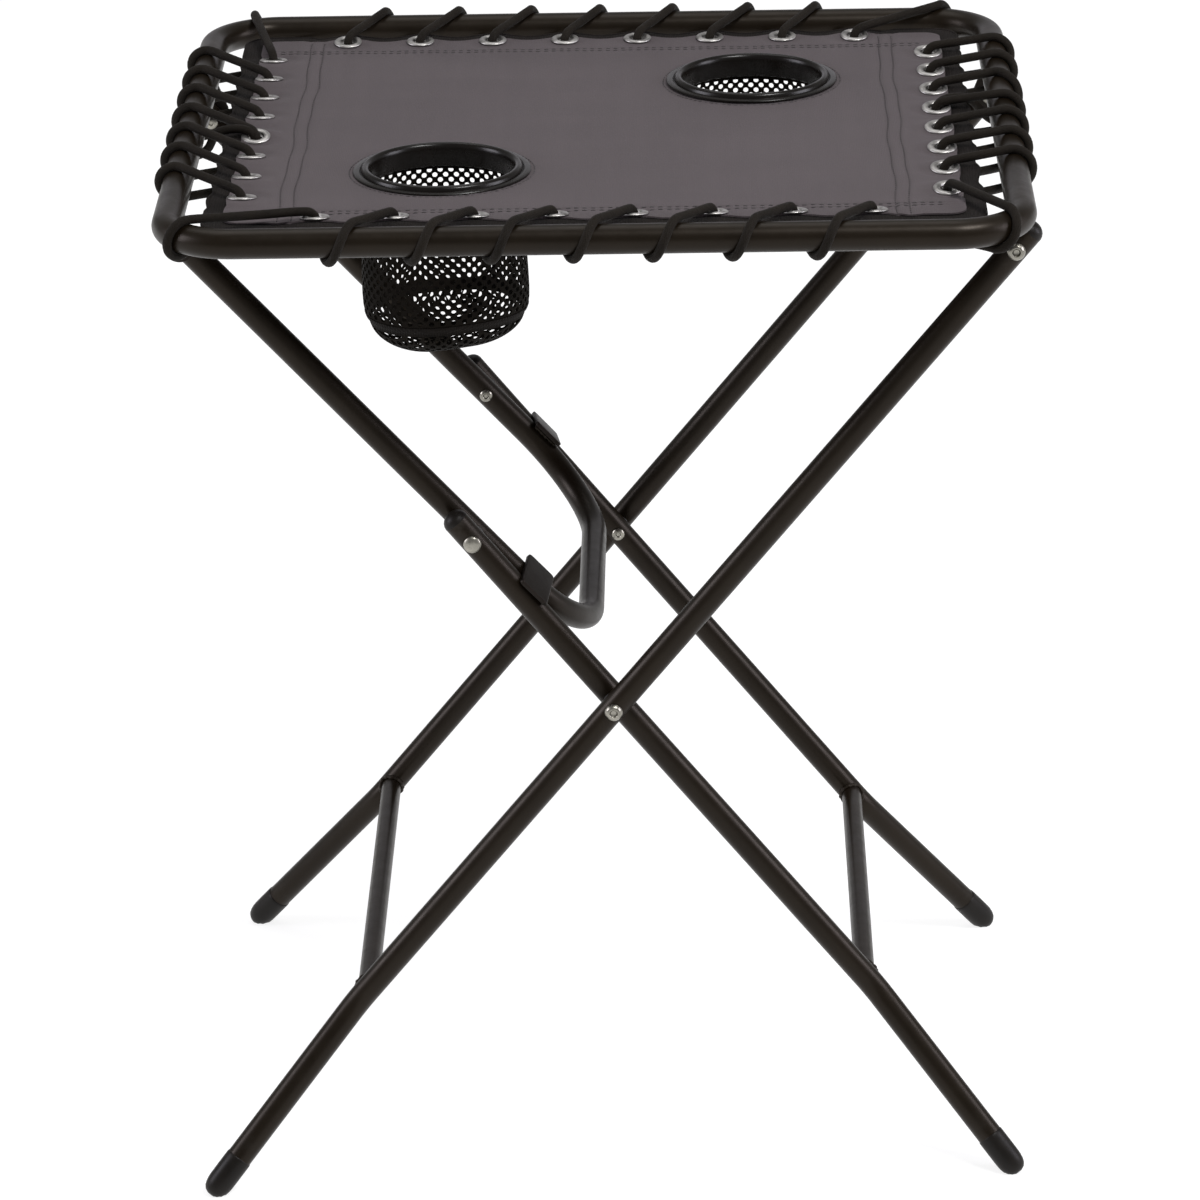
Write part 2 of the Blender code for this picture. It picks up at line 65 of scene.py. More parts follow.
# =========================================================== driving dimensions
# the same sizes as the part, in metres
RAIL_D, RAIL_HX, RAIL_HY, RAIL_RC = 0.0180, 0.2520, 0.2340, 0.0420
PIVOT_Z, PIVOT_X = 0.5982, 0.2500
RAIL_Z = PIVOT_Z + 0.0300
LEG_D, LEG_A, LEG_B, LINK_U = 0.0160, 0.3800, 0.1340, 0.2541
OPEN_A = math.radians(50.07)
Y_A, Y_B, Y_U = 0.1670, 0.1490, 0.1310
A_TOP, B_TOP, U_TOP = 0.0130, 0.0155, 0.0120
U_BAR, U_RC, BAR_D = 0.1035, 0.0650, 0.0130
BAR_AT, BEND_AT = 0.2440, 0.2540
SPLAY, FOOT_Z = math.radians(17.0), 0.0085
SL_HX, SL_HY = 0.2110, 0.1930
PANEL_X, PANEL_Y = 0.0087, 0.0060
BAND_X, BAND_Y = 0.0205, 0.0190
BAND_IN, SL_T = 0.0300, 0.0012
SL_Z = RAIL_Z + 0.0018
EYE_X = [-0.1645 + 0.0470 * i for i in range(8)]
EYE_Y = [-0.1505 + 0.0430 * i for i in range(8)]
CORD_D = 0.0055
CUP = {"left": (-0.0930, -0.0950), "right": (0.0965, 0.0950)}
RIVET_D, HEAD_D, PLATE_T, GAP = 0.0060, 0.0110, 0.0025, 0.0003

P1 = Vector((PIVOT_X, PIVOT_Z))
P4 = Vector((-PIVOT_X, PIVOT_Z))
dir_a = Vector((-math.cos(OPEN_A), -math.sin(OPEN_A)))
P2 = P1 + LEG_A * dir_a


def circles_meet(c0, r0, c1, r1):
    """The upper left point of the two where the circles cross."""
    d = c1 - c0
    L = d.length
    a = (r0 * r0 - r1 * r1 + L * L) / (2 * L)
    h = math.sqrt(max(r0 * r0 - a * a, 0.0))
    m = c0 + d * (a / L)
    n = Vector((-d.y, d.x)) / L
    return m + n * h, m - n * h


# the knee lies on the circle of the inner leg and on that of the lock bar
_knees = circles_meet(P2, LEG_B, P4, LINK_U)
P3 = min(_knees, key=lambda q: (q - Vector((-0.0782995, 0.4108881))).length)
dir_b = (P2 - P3).normalized()
dir_u = (P3 - P4).normalized()


# ==================================================================== materials
def new_mat(name):
    m = bpy.data.materials.new(name)
    m.use_nodes = True
    nt = m.node_tree
    for n in list(nt.nodes):
        nt.nodes.remove(n)
    out = nt.nodes.new("ShaderNodeOutputMaterial")
    b = nt.nodes.new("ShaderNodeBsdfPrincipled")
    nt.links.new(b.outputs[0], out.inputs[0])
    return m, nt, b


def node(nt, kind, **kw):
    n = nt.nodes.new(kind)
    for k, v in kw.items():
        if k in ("operation", "blend_type", "data_type", "wave_type", "bands_direction",
                 "wave_profile", "feature", "noise_dimensions", "voronoi_dimensions",
                 "rings_direction", "distance", "normalize", "interpolation_type"):
            setattr(n, k, v)
        else:
            n.inputs[k].default_value = v
    return n


def math_node(nt, op, a, b=None, c=None):
    n = nt.nodes.new("ShaderNodeMath")
    n.operation = op
    for i, v in enumerate((a, b, c)):
        if v is None:
            continue
        if isinstance(v, (int, float)):
            n.inputs[i].default_value = v
        else:
            nt.links.new(v, n.inputs[i])
    return n.outputs[0]


def coords(nt, scale=(1, 1, 1), kind="Object", rot=(0, 0, 0)):
    tc = nt.nodes.new("ShaderNodeTexCoord")
    mp = nt.nodes.new("ShaderNodeMapping")
    mp.inputs["Scale"].default_value = scale
    mp.inputs["Rotation"].default_value = rot
    nt.links.new(tc.outputs[kind], mp.inputs["Vector"])
    return mp.outputs["Vector"]


def noise(nt, vec, scale, detail=3.0, rough=0.55):
    n = nt.nodes.new("ShaderNodeTexNoise")
    n.inputs["Scale"].default_value = scale
    n.inputs["Detail"].default_value = detail
    n.inputs["Roughness"].default_value = rough
    nt.links.new(vec, n.inputs["Vector"])
    return n.outputs["Fac"]


def spread(nt, fac, lo, hi, a=0.0, b=1.0):
    n = nt.nodes.new("ShaderNodeMapRange")
    n.inputs["From Min"].default_value = a
    n.inputs["From Max"].default_value = b
    n.inputs["To Min"].default_value = lo
    n.inputs["To Max"].default_value = hi
    nt.links.new(fac, n.inputs["Value"])
    return n.outputs["Result"]


def blend_rgb(nt, fac, c0, c1):
    n = nt.nodes.new("ShaderNodeMix")
    n.data_type = "RGBA"
    for sock, v in ((n.inputs["A"], c0), (n.inputs["B"], c1)) if False else (
            (n.inputs[6], c0), (n.inputs[7], c1)):
        if isinstance(v, tuple):
            sock.default_value = (*v, 1.0)
        else:
            nt.links.new(v, sock)
    if isinstance(fac, (int, float)):
        n.inputs[0].default_value = fac
    else:
        nt.links.new(fac, n.inputs[0])
    return n.outputs[2]


def bump(nt, b, height, strength, dist, before=None):
    n = nt.nodes.new("ShaderNodeBump")
    n.inputs["Strength"].default_value = strength
    n.inputs["Distance"].default_value = dist
    nt.links.new(height, n.inputs["Height"])
    if before is not None:
        nt.links.new(before, n.inputs["Normal"])
    nt.links.new(n.outputs["Normal"], b.inputs["Normal"])
    return n.outputs["Normal"]


def powder_coat(name, dark=(0.0050, 0.0032, 0.0016), light=(0.0080, 0.0054, 0.0030),
                rough=(0.31, 0.41), peel=0.10, spec=0.215):
    """Semi-gloss black powder coat: orange peel, faint mottling, dust and rubbed edges."""
    m, nt, b = new_mat(name)
    v = coords(nt)
    big = noise(nt, v, 22.0, 4.0)
    fine = noise(nt, v, 520.0, 2.0)
    rub = noise(nt, v, 90.0, 6.0, 0.7)
    geo = nt.nodes.new("ShaderNodeNewGeometry")
    edge = spread(nt, geo.outputs["Pointiness"], 0.0, 1.0, 0.53, 0.62)
    worn = math_node(nt, "MULTIPLY", edge, spread(nt, rub, 0.0, 1.0, 0.45, 0.62))
    c = blend_rgb(nt, spread(nt, big, 0.0, 1.0, 0.35, 0.65), dark, light)
    c = blend_rgb(nt, math_node(nt, "MULTIPLY", worn, 0.35), c, (0.085, 0.080, 0.075))
    nt.links.new(c, b.inputs["Base Color"])
    r = spread(nt, rub, rough[0], rough[1], 0.3, 0.7)
    nt.links.new(math_node(nt, "ADD", r, math_node(nt, "MULTIPLY", worn, 0.10)),
                 b.inputs["Roughness"])
    b.inputs["Specular IOR Level"].default_value = spec
    b.inputs["Specular Tint"].default_value = (1.0, 0.88, 0.77, 1.0)
    bump(nt, b, fine, peel, 0.00025)
    return m


def bright_steel(name, colour, rough, scale=700.0):
    """Plated steel: fine circular brushing, tarnish in the low places."""
    m, nt, b = new_mat(name)
    v = coords(nt)
    fine = noise(nt, v, scale, 3.0)
    blot = noise(nt, v, 140.0, 5.0, 0.65)
    c = blend_rgb(nt, spread(nt, blot, 0.0, 1.0, 0.38, 0.66),
                  tuple(0.62 * x for x in colour), colour)
    nt.links.new(c, b.inputs["Base Color"])
    b.inputs["Metallic"].default_value = 1.0
    nt.links.new(spread(nt, blot, rough - 0.07, rough + 0.12, 0.35, 0.65), b.inputs["Roughness"])
    bump(nt, b, fine, 0.10, 0.0002)
    return m


def plastic(name, dark, light, rough, spec=0.5, grain=0.06, scale=900.0):
    m, nt, b = new_mat(name)
    v = coords(nt)
    fine = noise(nt, v, scale, 2.0)
    blot = noise(nt, v, 60.0, 5.0, 0.6)
    nt.links.new(blend_rgb(nt, spread(nt, blot, 0.0, 1.0, 0.35, 0.65), dark, light),
                 b.inputs["Base Color"])
    nt.links.new(spread(nt, blot, rough[0], rough[1], 0.3, 0.7), b.inputs["Roughness"])
    b.inputs["Specular IOR Level"].default_value = spec
    bump(nt, b, fine, grain, 0.0002)
    return m


def sling_cloth(name):
    """Coated basket weave: warp and weft of flat threads, slight tone bands, painted shade in the gaps
    between the threads and soft sheen.
    """
    m, nt, b = new_mat(name)
    tc = nt.nodes.new("ShaderNodeTexCoord")
    sep = nt.nodes.new("ShaderNodeSeparateXYZ")
    nt.links.new(tc.outputs["Object"], sep.inputs[0])
    k = 2 * math.pi / 0.0021
    sx = math_node(nt, "SINE", math_node(nt, "MULTIPLY", sep.outputs["X"], k))
    sy = math_node(nt, "SINE", math_node(nt, "MULTIPLY", sep.outputs["Y"], k))
    # threads change places in a chequer
    over = math_node(nt, "GREATER_THAN", math_node(nt, "MULTIPLY", sx, sy), 0.0)
    ax = math_node(nt, "ABSOLUTE", sx)
    ay = math_node(nt, "ABSOLUTE", sy)
    mix = nt.nodes.new("ShaderNodeMix")
    nt.links.new(over, mix.inputs[0])
    nt.links.new(ax, mix.inputs[2])
    nt.links.new(ay, mix.inputs[3])
    weave = mix.outputs[0]
    v = coords(nt)
    band = noise(nt, coords(nt, (6, 90, 1)), 1.0, 4.0, 0.6)
    band2 = noise(nt, coords(nt, (120, 5, 1)), 1.0, 4.0, 0.6)
    cloud = noise(nt, v, 9.0, 4.0)
    fleck = noise(nt, v, 1500.0, 1.0)
    tone = math_node(nt, "ADD", math_node(nt, "MULTIPLY", band, 0.35),
                     math_node(nt, "MULTIPLY", band2, 0.25))
    tone = math_node(nt, "ADD", tone, math_node(nt, "MULTIPLY", cloud, 0.40))
    c = blend_rgb(nt, spread(nt, tone, 0.0, 1.0, 0.38, 0.62),
                  (0.069, 0.0575, 0.0610), (0.088, 0.0745, 0.0785))
    # painted shade: the colour is darkened in the low gaps between the threads, where shade falls
    c = blend_rgb(nt, math_node(nt, "MULTIPLY", spread(nt, weave, 1.0, 0.0, 0.1, 0.9), 0.30),
                  c, (0.045, 0.038, 0.040))
    c = blend_rgb(nt, math_node(nt, "MULTIPLY", spread(nt, fleck, 0.0, 1.0, 0.6, 0.75), 0.20),
                  c, (0.22, 0.20, 0.20))
    nt.links.new(c, b.inputs["Base Color"])
    nt.links.new(spread(nt, tone, 0.55, 0.72, 0.38, 0.62), b.inputs["Roughness"])
    b.inputs["Sheen Weight"].default_value = 0.03
    b.inputs["Sheen Roughness"].default_value = 0.5
    b.inputs["Specular IOR Level"].default_value = 0.10
    bump(nt, b, weave, 0.35, 0.00022)
    return m


def webbing(name, dark=(0.0050, 0.0038, 0.0032), light=(0.0110, 0.0088, 0.0078)):
    """Black binding cloth with ribs across its width, their crests painted lighter as a highlight."""
    m, nt, b = new_mat(name)
    tc = nt.nodes.new("ShaderNodeTexCoord")
    sep = nt.nodes.new("ShaderNodeSeparateXYZ")
    nt.links.new(tc.outputs["Object"], sep.inputs[0])
    k = 2 * math.pi / 0.0016
    sx = math_node(nt, "SINE", math_node(nt, "MULTIPLY", sep.outputs["X"], k))
    sy = math_node(nt, "SINE", math_node(nt, "MULTIPLY", sep.outputs["Y"], k))
    rib = math_node(nt, "ADD", math_node(nt, "MULTIPLY", sx, 0.5),
                    math_node(nt, "MULTIPLY", sy, 0.5))
    v = coords(nt)
    cloud = noise(nt, v, 60.0, 4.0)
    c = blend_rgb(nt, spread(nt, cloud, 0.0, 1.0, 0.35, 0.65), dark, light)
    # painted highlight: the raised ribs are coloured lighter, as if lit from above
    c = blend_rgb(nt, math_node(nt, "MULTIPLY", spread(nt, rib, 0.0, 1.0, 0.2, 1.0), 0.35), c,
                  tuple(2.2 * x for x in light))
    nt.links.new(c, b.inputs["Base Color"])
    nt.links.new(spread(nt, cloud, 0.72, 0.90, 0.3, 0.7), b.inputs["Roughness"])
    b.inputs["Sheen Weight"].default_value = 0.02
    b.inputs["Specular IOR Level"].default_value = 0.08
    bump(nt, b, rib, 0.5, 0.0003)
    return m


def braided_cord(name):
    """Elastic cord: a braid of fine strands crossing in a diamond pattern, from the tube's own map,
    with a painted highlight on the strand crowns.
    """
    m, nt, b = new_mat(name)
    tc = nt.nodes.new("ShaderNodeTexCoord")
    sep = nt.nodes.new("ShaderNodeSeparateXYZ")
    nt.links.new(tc.outputs["UV"], sep.inputs[0])
    along = math_node(nt, "MULTIPLY", sep.outputs["X"], 2 * math.pi / 0.0042)
    round_ = math_node(nt, "MULTIPLY", sep.outputs["Y"], 2 * math.pi * 8)
    a = math_node(nt, "ADD", along, round_)
    c_ = math_node(nt, "SUBTRACT", along, round_)
    sa, sc = math_node(nt, "SINE", a), math_node(nt, "SINE", c_)
    height = math_node(nt, "MAXIMUM", math_node(nt, "ABSOLUTE", sa),
                       math_node(nt, "ABSOLUTE", sc))
    v = coords(nt)
    fuzz = noise(nt, v, 900.0, 2.0)
    cloud = noise(nt, v, 45.0, 3.0)
    c = blend_rgb(nt, spread(nt, cloud, 0.0, 1.0, 0.35, 0.65),
                  (0.0048, 0.0032, 0.0018), (0.0092, 0.0066, 0.0042))
    # painted highlight: the raised crossings of the braid are coloured lighter, as if lit
    c = blend_rgb(nt, math_node(nt, "MULTIPLY", spread(nt, height, 0.0, 1.0, 0.75, 1.0), 0.45),
                  c, (0.0160, 0.0130, 0.0100))
    nt.links.new(c, b.inputs["Base Color"])
    nt.links.new(spread(nt, fuzz, 0.62, 0.82, 0.3, 0.7), b.inputs["Roughness"])
    b.inputs["Sheen Weight"].default_value = 0.02
    b.inputs["Sheen Roughness"].default_value = 0.4
    b.inputs["Specular IOR Level"].default_value = 0.12
    first = bump(nt, b, height, 0.65, 0.0004)
    bump(nt, b, fuzz, 0.20, 0.0002, before=first)
    return m


def thread(name, dark, light):
    m, nt, b = new_mat(name)
    v = coords(nt)
    tw = noise(nt, v, 2200.0, 1.0)
    cloud = noise(nt, v, 120.0, 3.0)
    nt.links.new(blend_rgb(nt, cloud, dark, light), b.inputs["Base Color"])
    nt.links.new(spread(nt, cloud, 0.55, 0.75), b.inputs["Roughness"])
    bump(nt, b, tw, 0.4, 0.0002)
    return m


def mesh_cloth(name):
    """Black perforated knit: matt, with a fine loop texture on the webs between the holes."""
    m, nt, b = new_mat(name)
    v = coords(nt)
    knit = noise(nt, v, 1800.0, 2.0, 0.6)
    cloud = noise(nt, v, 35.0, 3.0)
    nt.links.new(blend_rgb(nt, spread(nt, cloud, 0.0, 1.0, 0.35, 0.65),
                           (0.0040, 0.0028, 0.0016), (0.0072, 0.0052, 0.0034)),
                 b.inputs["Base Color"])
    nt.links.new(spread(nt, knit, 0.65, 0.88, 0.3, 0.7), b.inputs["Roughness"])
    b.inputs["Specular IOR Level"].default_value = 0.08
    bump(nt, b, knit, 0.35, 0.0003)
    return m


M_TUBE = powder_coat("powder_black")
M_WELD = powder_coat("weld_black", rough=(0.40, 0.55), peel=0.45)
M_PLATE = powder_coat("plate_black", (0.0042, 0.0031, 0.0026), (0.0072, 0.0054, 0.0046),
                      rough=(0.38, 0.50), spec=0.18)
M_GROMMET = bright_steel("grommet_nickel", (0.50, 0.485, 0.47), 0.40)
M_RIVET = bright_steel("rivet_steel", (0.36, 0.345, 0.30), 0.30)
M_RING = plastic("ring_gloss_black", (0.0030, 0.0021, 0.0015), (0.0050, 0.0037, 0.0028),
                 (0.24, 0.29), spec=0.24)
M_CAP = plastic("cap_black", (0.0038, 0.0028, 0.0020), (0.0078, 0.0060, 0.0046), (0.36, 0.50),
                spec=0.20)
M_NYLON = plastic("nylon_black", (0.012, 0.011, 0.010), (0.02, 0.018, 0.017), (0.45, 0.6))
M_SLING = sling_cloth("sling_grey_weave")
M_BAND = webbing("edge_webbing")
M_CORD = braided_cord("lace_braid")
M_THREAD = thread("hem_thread", (0.022, 0.018, 0.019), (0.045, 0.038, 0.040))
M_MESH = mesh_cloth("pouch_mesh")
M_HEM = webbing("pouch_hem", (0.0036, 0.0027, 0.0020), (0.0080, 0.0062, 0.0050))


# ================================================================= mesh helpers
def make(name, V, F, mat, angle=40.0, uv=None):
    me = bpy.data.meshes.new(name)
    me.from_pydata([tuple(map(float, v)) for v in V], [], [tuple(map(int, f)) for f in F])
    if uv is not None:
        layer = me.uv_layers.new(name="UVMap")
        layer.data.foreach_set("uv", np.asarray(uv, np.float32).reshape(-1))
    me.update()
    me.polygons.foreach_set("use_smooth", [True] * len(me.polygons))
    me.set_sharp_from_angle(angle=math.radians(angle))
    me.materials.append(mat)
    ob = bpy.data.objects.new(name, me)
    bpy.context.scene.collection.objects.link(ob)
    return ob


def unit(v):
    return v / np.maximum(np.linalg.norm(v, axis=-1, keepdims=True), 1e-12)


def frames_along(P, closed):
    T = unit(np.roll(P, -1, 0) - np.roll(P, 1, 0)) if closed else unit(np.gradient(P, axis=0))
    N = np.zeros_like(P)
    seed = np.array([0.0, 0.0, 1.0]) if abs(T[0][2]) < 0.9 else np.array([0.0, 1.0, 0.0])
    N[0] = unit(seed - T[0] * (seed @ T[0]))
    for i in range(1, len(P)):
        v = N[i - 1] - T[i] * (N[i - 1] @ T[i])
        N[i] = unit(v)
    if closed:
        v = N[-1] - T[0] * (N[-1] @ T[0])
        v = unit(v)
        B0 = np.cross(T[0], N[0])
        twist = math.atan2(v @ B0, v @ N[0])
        a = -twist * np.arange(len(P)) / len(P)
        B = np.cross(T, N)
        N = N * np.cos(a)[:, None] + B * np.sin(a)[:, None]
    return T, N, np.cross(T, N)


def tube(name, P, radius, mat, sides=44, closed=False, round_ends=False, squeeze=None, wobble=None):
    """A swept round tube with its own map: metres along, turns around."""
    P = np.asarray(P, float)
    R = np.full(len(P), radius, float) if np.isscalar(radius) else np.asarray(radius, float)
    if round_ends and not closed:
        T0, T1 = unit(P[0] - P[1]), unit(P[-1] - P[-2])
        head, tail, hr, tr = [], [], [], []
        for a in (75, 50, 25):
            c, s = math.cos(math.radians(a)), math.sin(math.radians(a))
            head.append(P[0] + T0 * R[0] * s * 0.6)
            hr.append(R[0] * c)
            tail.insert(0, P[-1] + T1 * R[-1] * s * 0.6)
            tr.insert(0, R[-1] * c)
        P = np.vstack([head, P, tail])
        R = np.concatenate([hr, R, tr])
    T, N, B = frames_along(P, closed)
    th = 2 * np.pi * np.arange(sides) / sides
    ring = N[:, None] * np.cos(th)[None, :, None] + B[:, None] * np.sin(th)[None, :, None]
    rad = R[:, None] * np.ones(sides)[None]
    if wobble is not None:
        rad = rad * wobble(np.arange(len(P))[:, None], th[None, :])
    V = (P[:, None] + ring * rad[:, :, None]).reshape(-1, 3)
    n = len(P)
    F, UV = [], []
    L = np.concatenate([[0], np.cumsum(np.linalg.norm(np.diff(P, axis=0), axis=1))])
    close_len = L[-1] + np.linalg.norm(P[0] - P[-1])
    rows = n if closed else n - 1
    for i in range(rows):
        i2 = (i + 1) % n
        l0, l1 = L[i], (L[i + 1] if i + 1 < n else close_len)
        for k in range(sides):
            k2 = (k + 1) % sides
            F.append((i * sides + k, i * sides + k2, i2 * sides + k2, i2 * sides + k))
            v0, v1 = k / sides, (k + 1) / sides
            UV += [(l0, v0), (l0, v1), (l1, v1), (l1, v0)]
    if not closed:
        F.append(tuple(range(sides - 1, -1, -1)))
        UV += [(L[0], 0.0)] * sides
        F.append(tuple((n - 1) * sides + k for k in range(sides)))
        UV += [(L[-1], 0.0)] * sides
    return make(name, V, F, mat, 50.0, UV)


def turned(name, profile, steps, mat, matrix=None, closed=False, angle=35.0, wave=None):
    """A profile of (radius, height) turned about Z; an open one starts and ends on the axis."""
    V, F, rows = [], [], []
    for r, z in profile:
        if r < 1e-7:
            rows.append([len(V)])
            V.append((0.0, 0.0, z))
        else:
            rows.append(list(range(len(V), len(V) + steps)))
            for k in range(steps):
                a = 2 * math.pi * k / steps
                rr = r * (wave(a, z) if wave else 1.0)
                V.append((rr * math.cos(a), rr * math.sin(a), z))
    m = len(rows)
    for i in range(m if closed else m - 1):
        A, B = rows[i], rows[(i + 1) % m]
        for k in range(steps):
            k2 = (k + 1) % steps
            if len(A) == 1 and len(B) == 1:
                continue
            if len(A) == 1:
                F.append((A[0], B[k], B[k2]))
            elif len(B) == 1:
                F.append((A[k], B[0], A[k2]))
            else:
                F.append((A[k], B[k], B[k2], A[k2]))
    ob = make(name, V, F, mat, angle)
    bm = bmesh.new()
    bm.from_mesh(ob.data)
    bmesh.ops.recalc_face_normals(bm, faces=bm.faces)
    bm.to_mesh(ob.data)
    bm.free()
    ob.data.set_sharp_from_angle(angle=math.radians(angle))
    if matrix is not None:
        ob.data.transform(matrix)
    return ob


def along(axis, at):
    z = Vector(axis).normalized()
    x = z.orthogonal().normalized()
    y = z.cross(x)
    return Matrix.Translation(Vector(at)) @ Matrix((x, y, z)).transposed().to_4x4()


def round_rect(hx, hy, r, n=12, step=0.004):
    """Closed outline of a round-cornered rectangle, evenly dense along its sides."""
    pts = []
    for cx, cy, a0 in ((hx - r, -(hy - r), -90), (hx - r, hy - r, 0),
                       (-(hx - r), hy - r, 90), (-(hx - r), -(hy - r), 180)):
        arc = [(cx + r * math.cos(math.radians(a0 + 90 * i / n)),
                cy + r * math.sin(math.radians(a0 + 90 * i / n))) for i in range(n + 1)]
        if pts:
            a, b = pts[-1], arc[0]
            m = max(1, int(math.dist(a, b) / step))
            pts += [(a[0] + (b[0] - a[0]) * j / m, a[1] + (b[1] - a[1]) * j / m)
                    for j in range(1, m)]
        pts += arc
    a, b = pts[-1], pts[0]
    m = max(1, int(math.dist(a, b) / step))
    pts += [(a[0] + (b[0] - a[0]) * j / m, a[1] + (b[1] - a[1]) * j / m) for j in range(1, m)]
    return pts


def circle(cx, cy, r, n):
    return [(cx + r * math.cos(2 * math.pi * i / n), cy + r * math.sin(2 * math.pi * i / n))
            for i in range(n)]


def curve_through(P, step, power=0.5):
    """Centripetal Catmull-Rom curve through the points, then points every step along it."""
    P = np.asarray(P, float)
    d = np.maximum(np.linalg.norm(np.diff(P, axis=0), axis=1), 1e-7) ** power
    t = np.concatenate([[0], np.cumsum(d)])
    m = np.zeros_like(P)
    m[1:-1] = (P[2:] - P[:-2]) / (t[2:] - t[:-2])[:, None]
    # a better tangent where the knots are uneven
    a = (P[1:-1] - P[:-2]) / (t[1:-1] - t[:-2])[:, None]
    b = (P[2:] - P[1:-1]) / (t[2:] - t[1:-1])[:, None]
    w = ((t[2:] - t[1:-1]) / (t[2:] - t[:-2]))[:, None]
    m[1:-1] = a * w + b * (1 - w)
    m[0] = (P[1] - P[0]) / (t[1] - t[0])
    m[-1] = (P[-1] - P[-2]) / (t[-1] - t[-2])
    out = []
    for i in range(len(P) - 1):
        h = t[i + 1] - t[i]
        k = max(4, int(np.linalg.norm(P[i + 1] - P[i]) / 0.0006))
        u = (np.arange(k) / k)[:, None]
        h00, h10 = 2 * u**3 - 3 * u**2 + 1, u**3 - 2 * u**2 + u
        h01, h11 = -2 * u**3 + 3 * u**2, u**3 - u**2
        out.append(h00 * P[i] + h10 * h * m[i] + h01 * P[i + 1] + h11 * h * m[i + 1])
    Q = np.vstack(out + [P[-1:]])
    L = np.concatenate([[0], np.cumsum(np.linalg.norm(np.diff(Q, axis=0), axis=1))])
    n = max(2, int(L[-1] / step))
    s = np.linspace(0, L[-1], n + 1)
    return np.stack([np.interp(s, L, Q[:, k]) for k in range(3)], axis=1)


# ================================================================ tabletop frame
corner = [(x, y, RAIL_Z) for x, y in round_rect(RAIL_HX, RAIL_HY, RAIL_RC, 20, 0.012)]
rail = tube("frame_tube", corner, RAIL_D / 2, M_TUBE, 56, closed=True)
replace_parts(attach(rail, "tabletop"), "top_frame_tube")


# ========================================================================= sling
TILT = {"left": -9.0, "right": 11.0, "far": 5.0, "near": -8.0}      # degrees about X
eye_list = []
for i, x in enumerate(EYE_X):
    eye_list.append(("far", i, x, SL_HY - 0.0005))
    eye_list.append(("near", i, x, -SL_HY + 0.0005))
for i, y in enumerate(EYE_Y):
    eye_list.append(("left", i, -SL_HX + 0.0005, y))
    eye_list.append(("right", i, SL_HX - 0.0005, y))


def tilt_of(side, i):
    t = TILT[side]
    if side == "left" and i == 3:
        t = 14.0
    if side == "far" and i in (0, 7):
        t = 9.0
    return math.tan(math.radians(t))


def cloth_z(x, y):
    """How far the cloth's mid surface lies from its flat place."""
    x, y = np.asarray(x, float), np.asarray(y, float)
    hx, hy = SL_HX + PANEL_X, SL_HY + PANEL_Y
    u, v = np.clip(np.abs(x) / hx, 0, 1), np.clip(np.abs(y) / hy, 0, 1)
    z = -0.0011 * (1 - u**2) * (1 - v**2)
    z += 0.00025 * np.sin(x * 31 + 0.7) * np.sin(y * 27 + 1.9) * (1 - u**4) * (1 - v**4)
    # tension folds running in from the eyelets
    wx = np.cos(2 * np.pi * (x - EYE_X[0]) / 0.047)
    wy = np.cos(2 * np.pi * (y - EYE_Y[0]) / 0.043)
    z += 0.00050 * wx * np.exp(-(hy - np.abs(y)) / 0.020) * (np.abs(x) < 0.19)
    z += 0.00050 * wy * np.exp(-(hx - np.abs(x)) / 0.020) * (np.abs(y) < 0.17)
    for side, i, ex, ey in eye_list:
        d = np.hypot(x - ex, y - ey)
        w = np.clip((0.0200 - d) / 0.0105, 0, 1)
        w = w * w * (3 - 2 * w)
        z += w * tilt_of(side, i) * (y - ey) * 0.9
    return z


HEM_X = (0.1790, 0.1872)         # two lines of stitching down each short side
HEM_Y = {"near": -0.1812, "near_inner": -0.1765, "far": 0.1735, "far_inner": 0.1690}


def scallop(pts, amp):
    """Pull the edge in a little between the eyelets."""
    out = []
    for x, y in pts:
        nx, ny = x, y
        if abs(x) < EYE_X[7] + 0.02 and abs(y) > SL_HY - 0.02:
            k = 0.5 - 0.5 * math.cos(2 * math.pi * (x - EYE_X[0]) / 0.047)
            ny -= math.copysign(amp * k, y)
        if abs(y) < EYE_Y[7] + 0.015 and abs(x) > SL_HX - 0.02:
            k = 0.5 - 0.5 * math.cos(2 * math.pi * (y - EYE_Y[0]) / 0.043)
            nx -= math.copysign(amp * k, x)
        out.append((nx, ny))
    return out


def inside(P, poly):
    """Which points lie inside a closed outline."""
    x, y = P[:, 0], P[:, 1]
    hit = np.zeros(len(P), bool)
    Q = np.asarray(poly, float)
    for (x0, y0), (x1, y1) in zip(Q, np.roll(Q, -1, 0)):
        if y0 == y1:
            continue
        cross = (y0 > y) != (y1 > y)
        hit ^= cross & (x < (x1 - x0) * (y - y0) / (y1 - y0) + x0)
    return hit


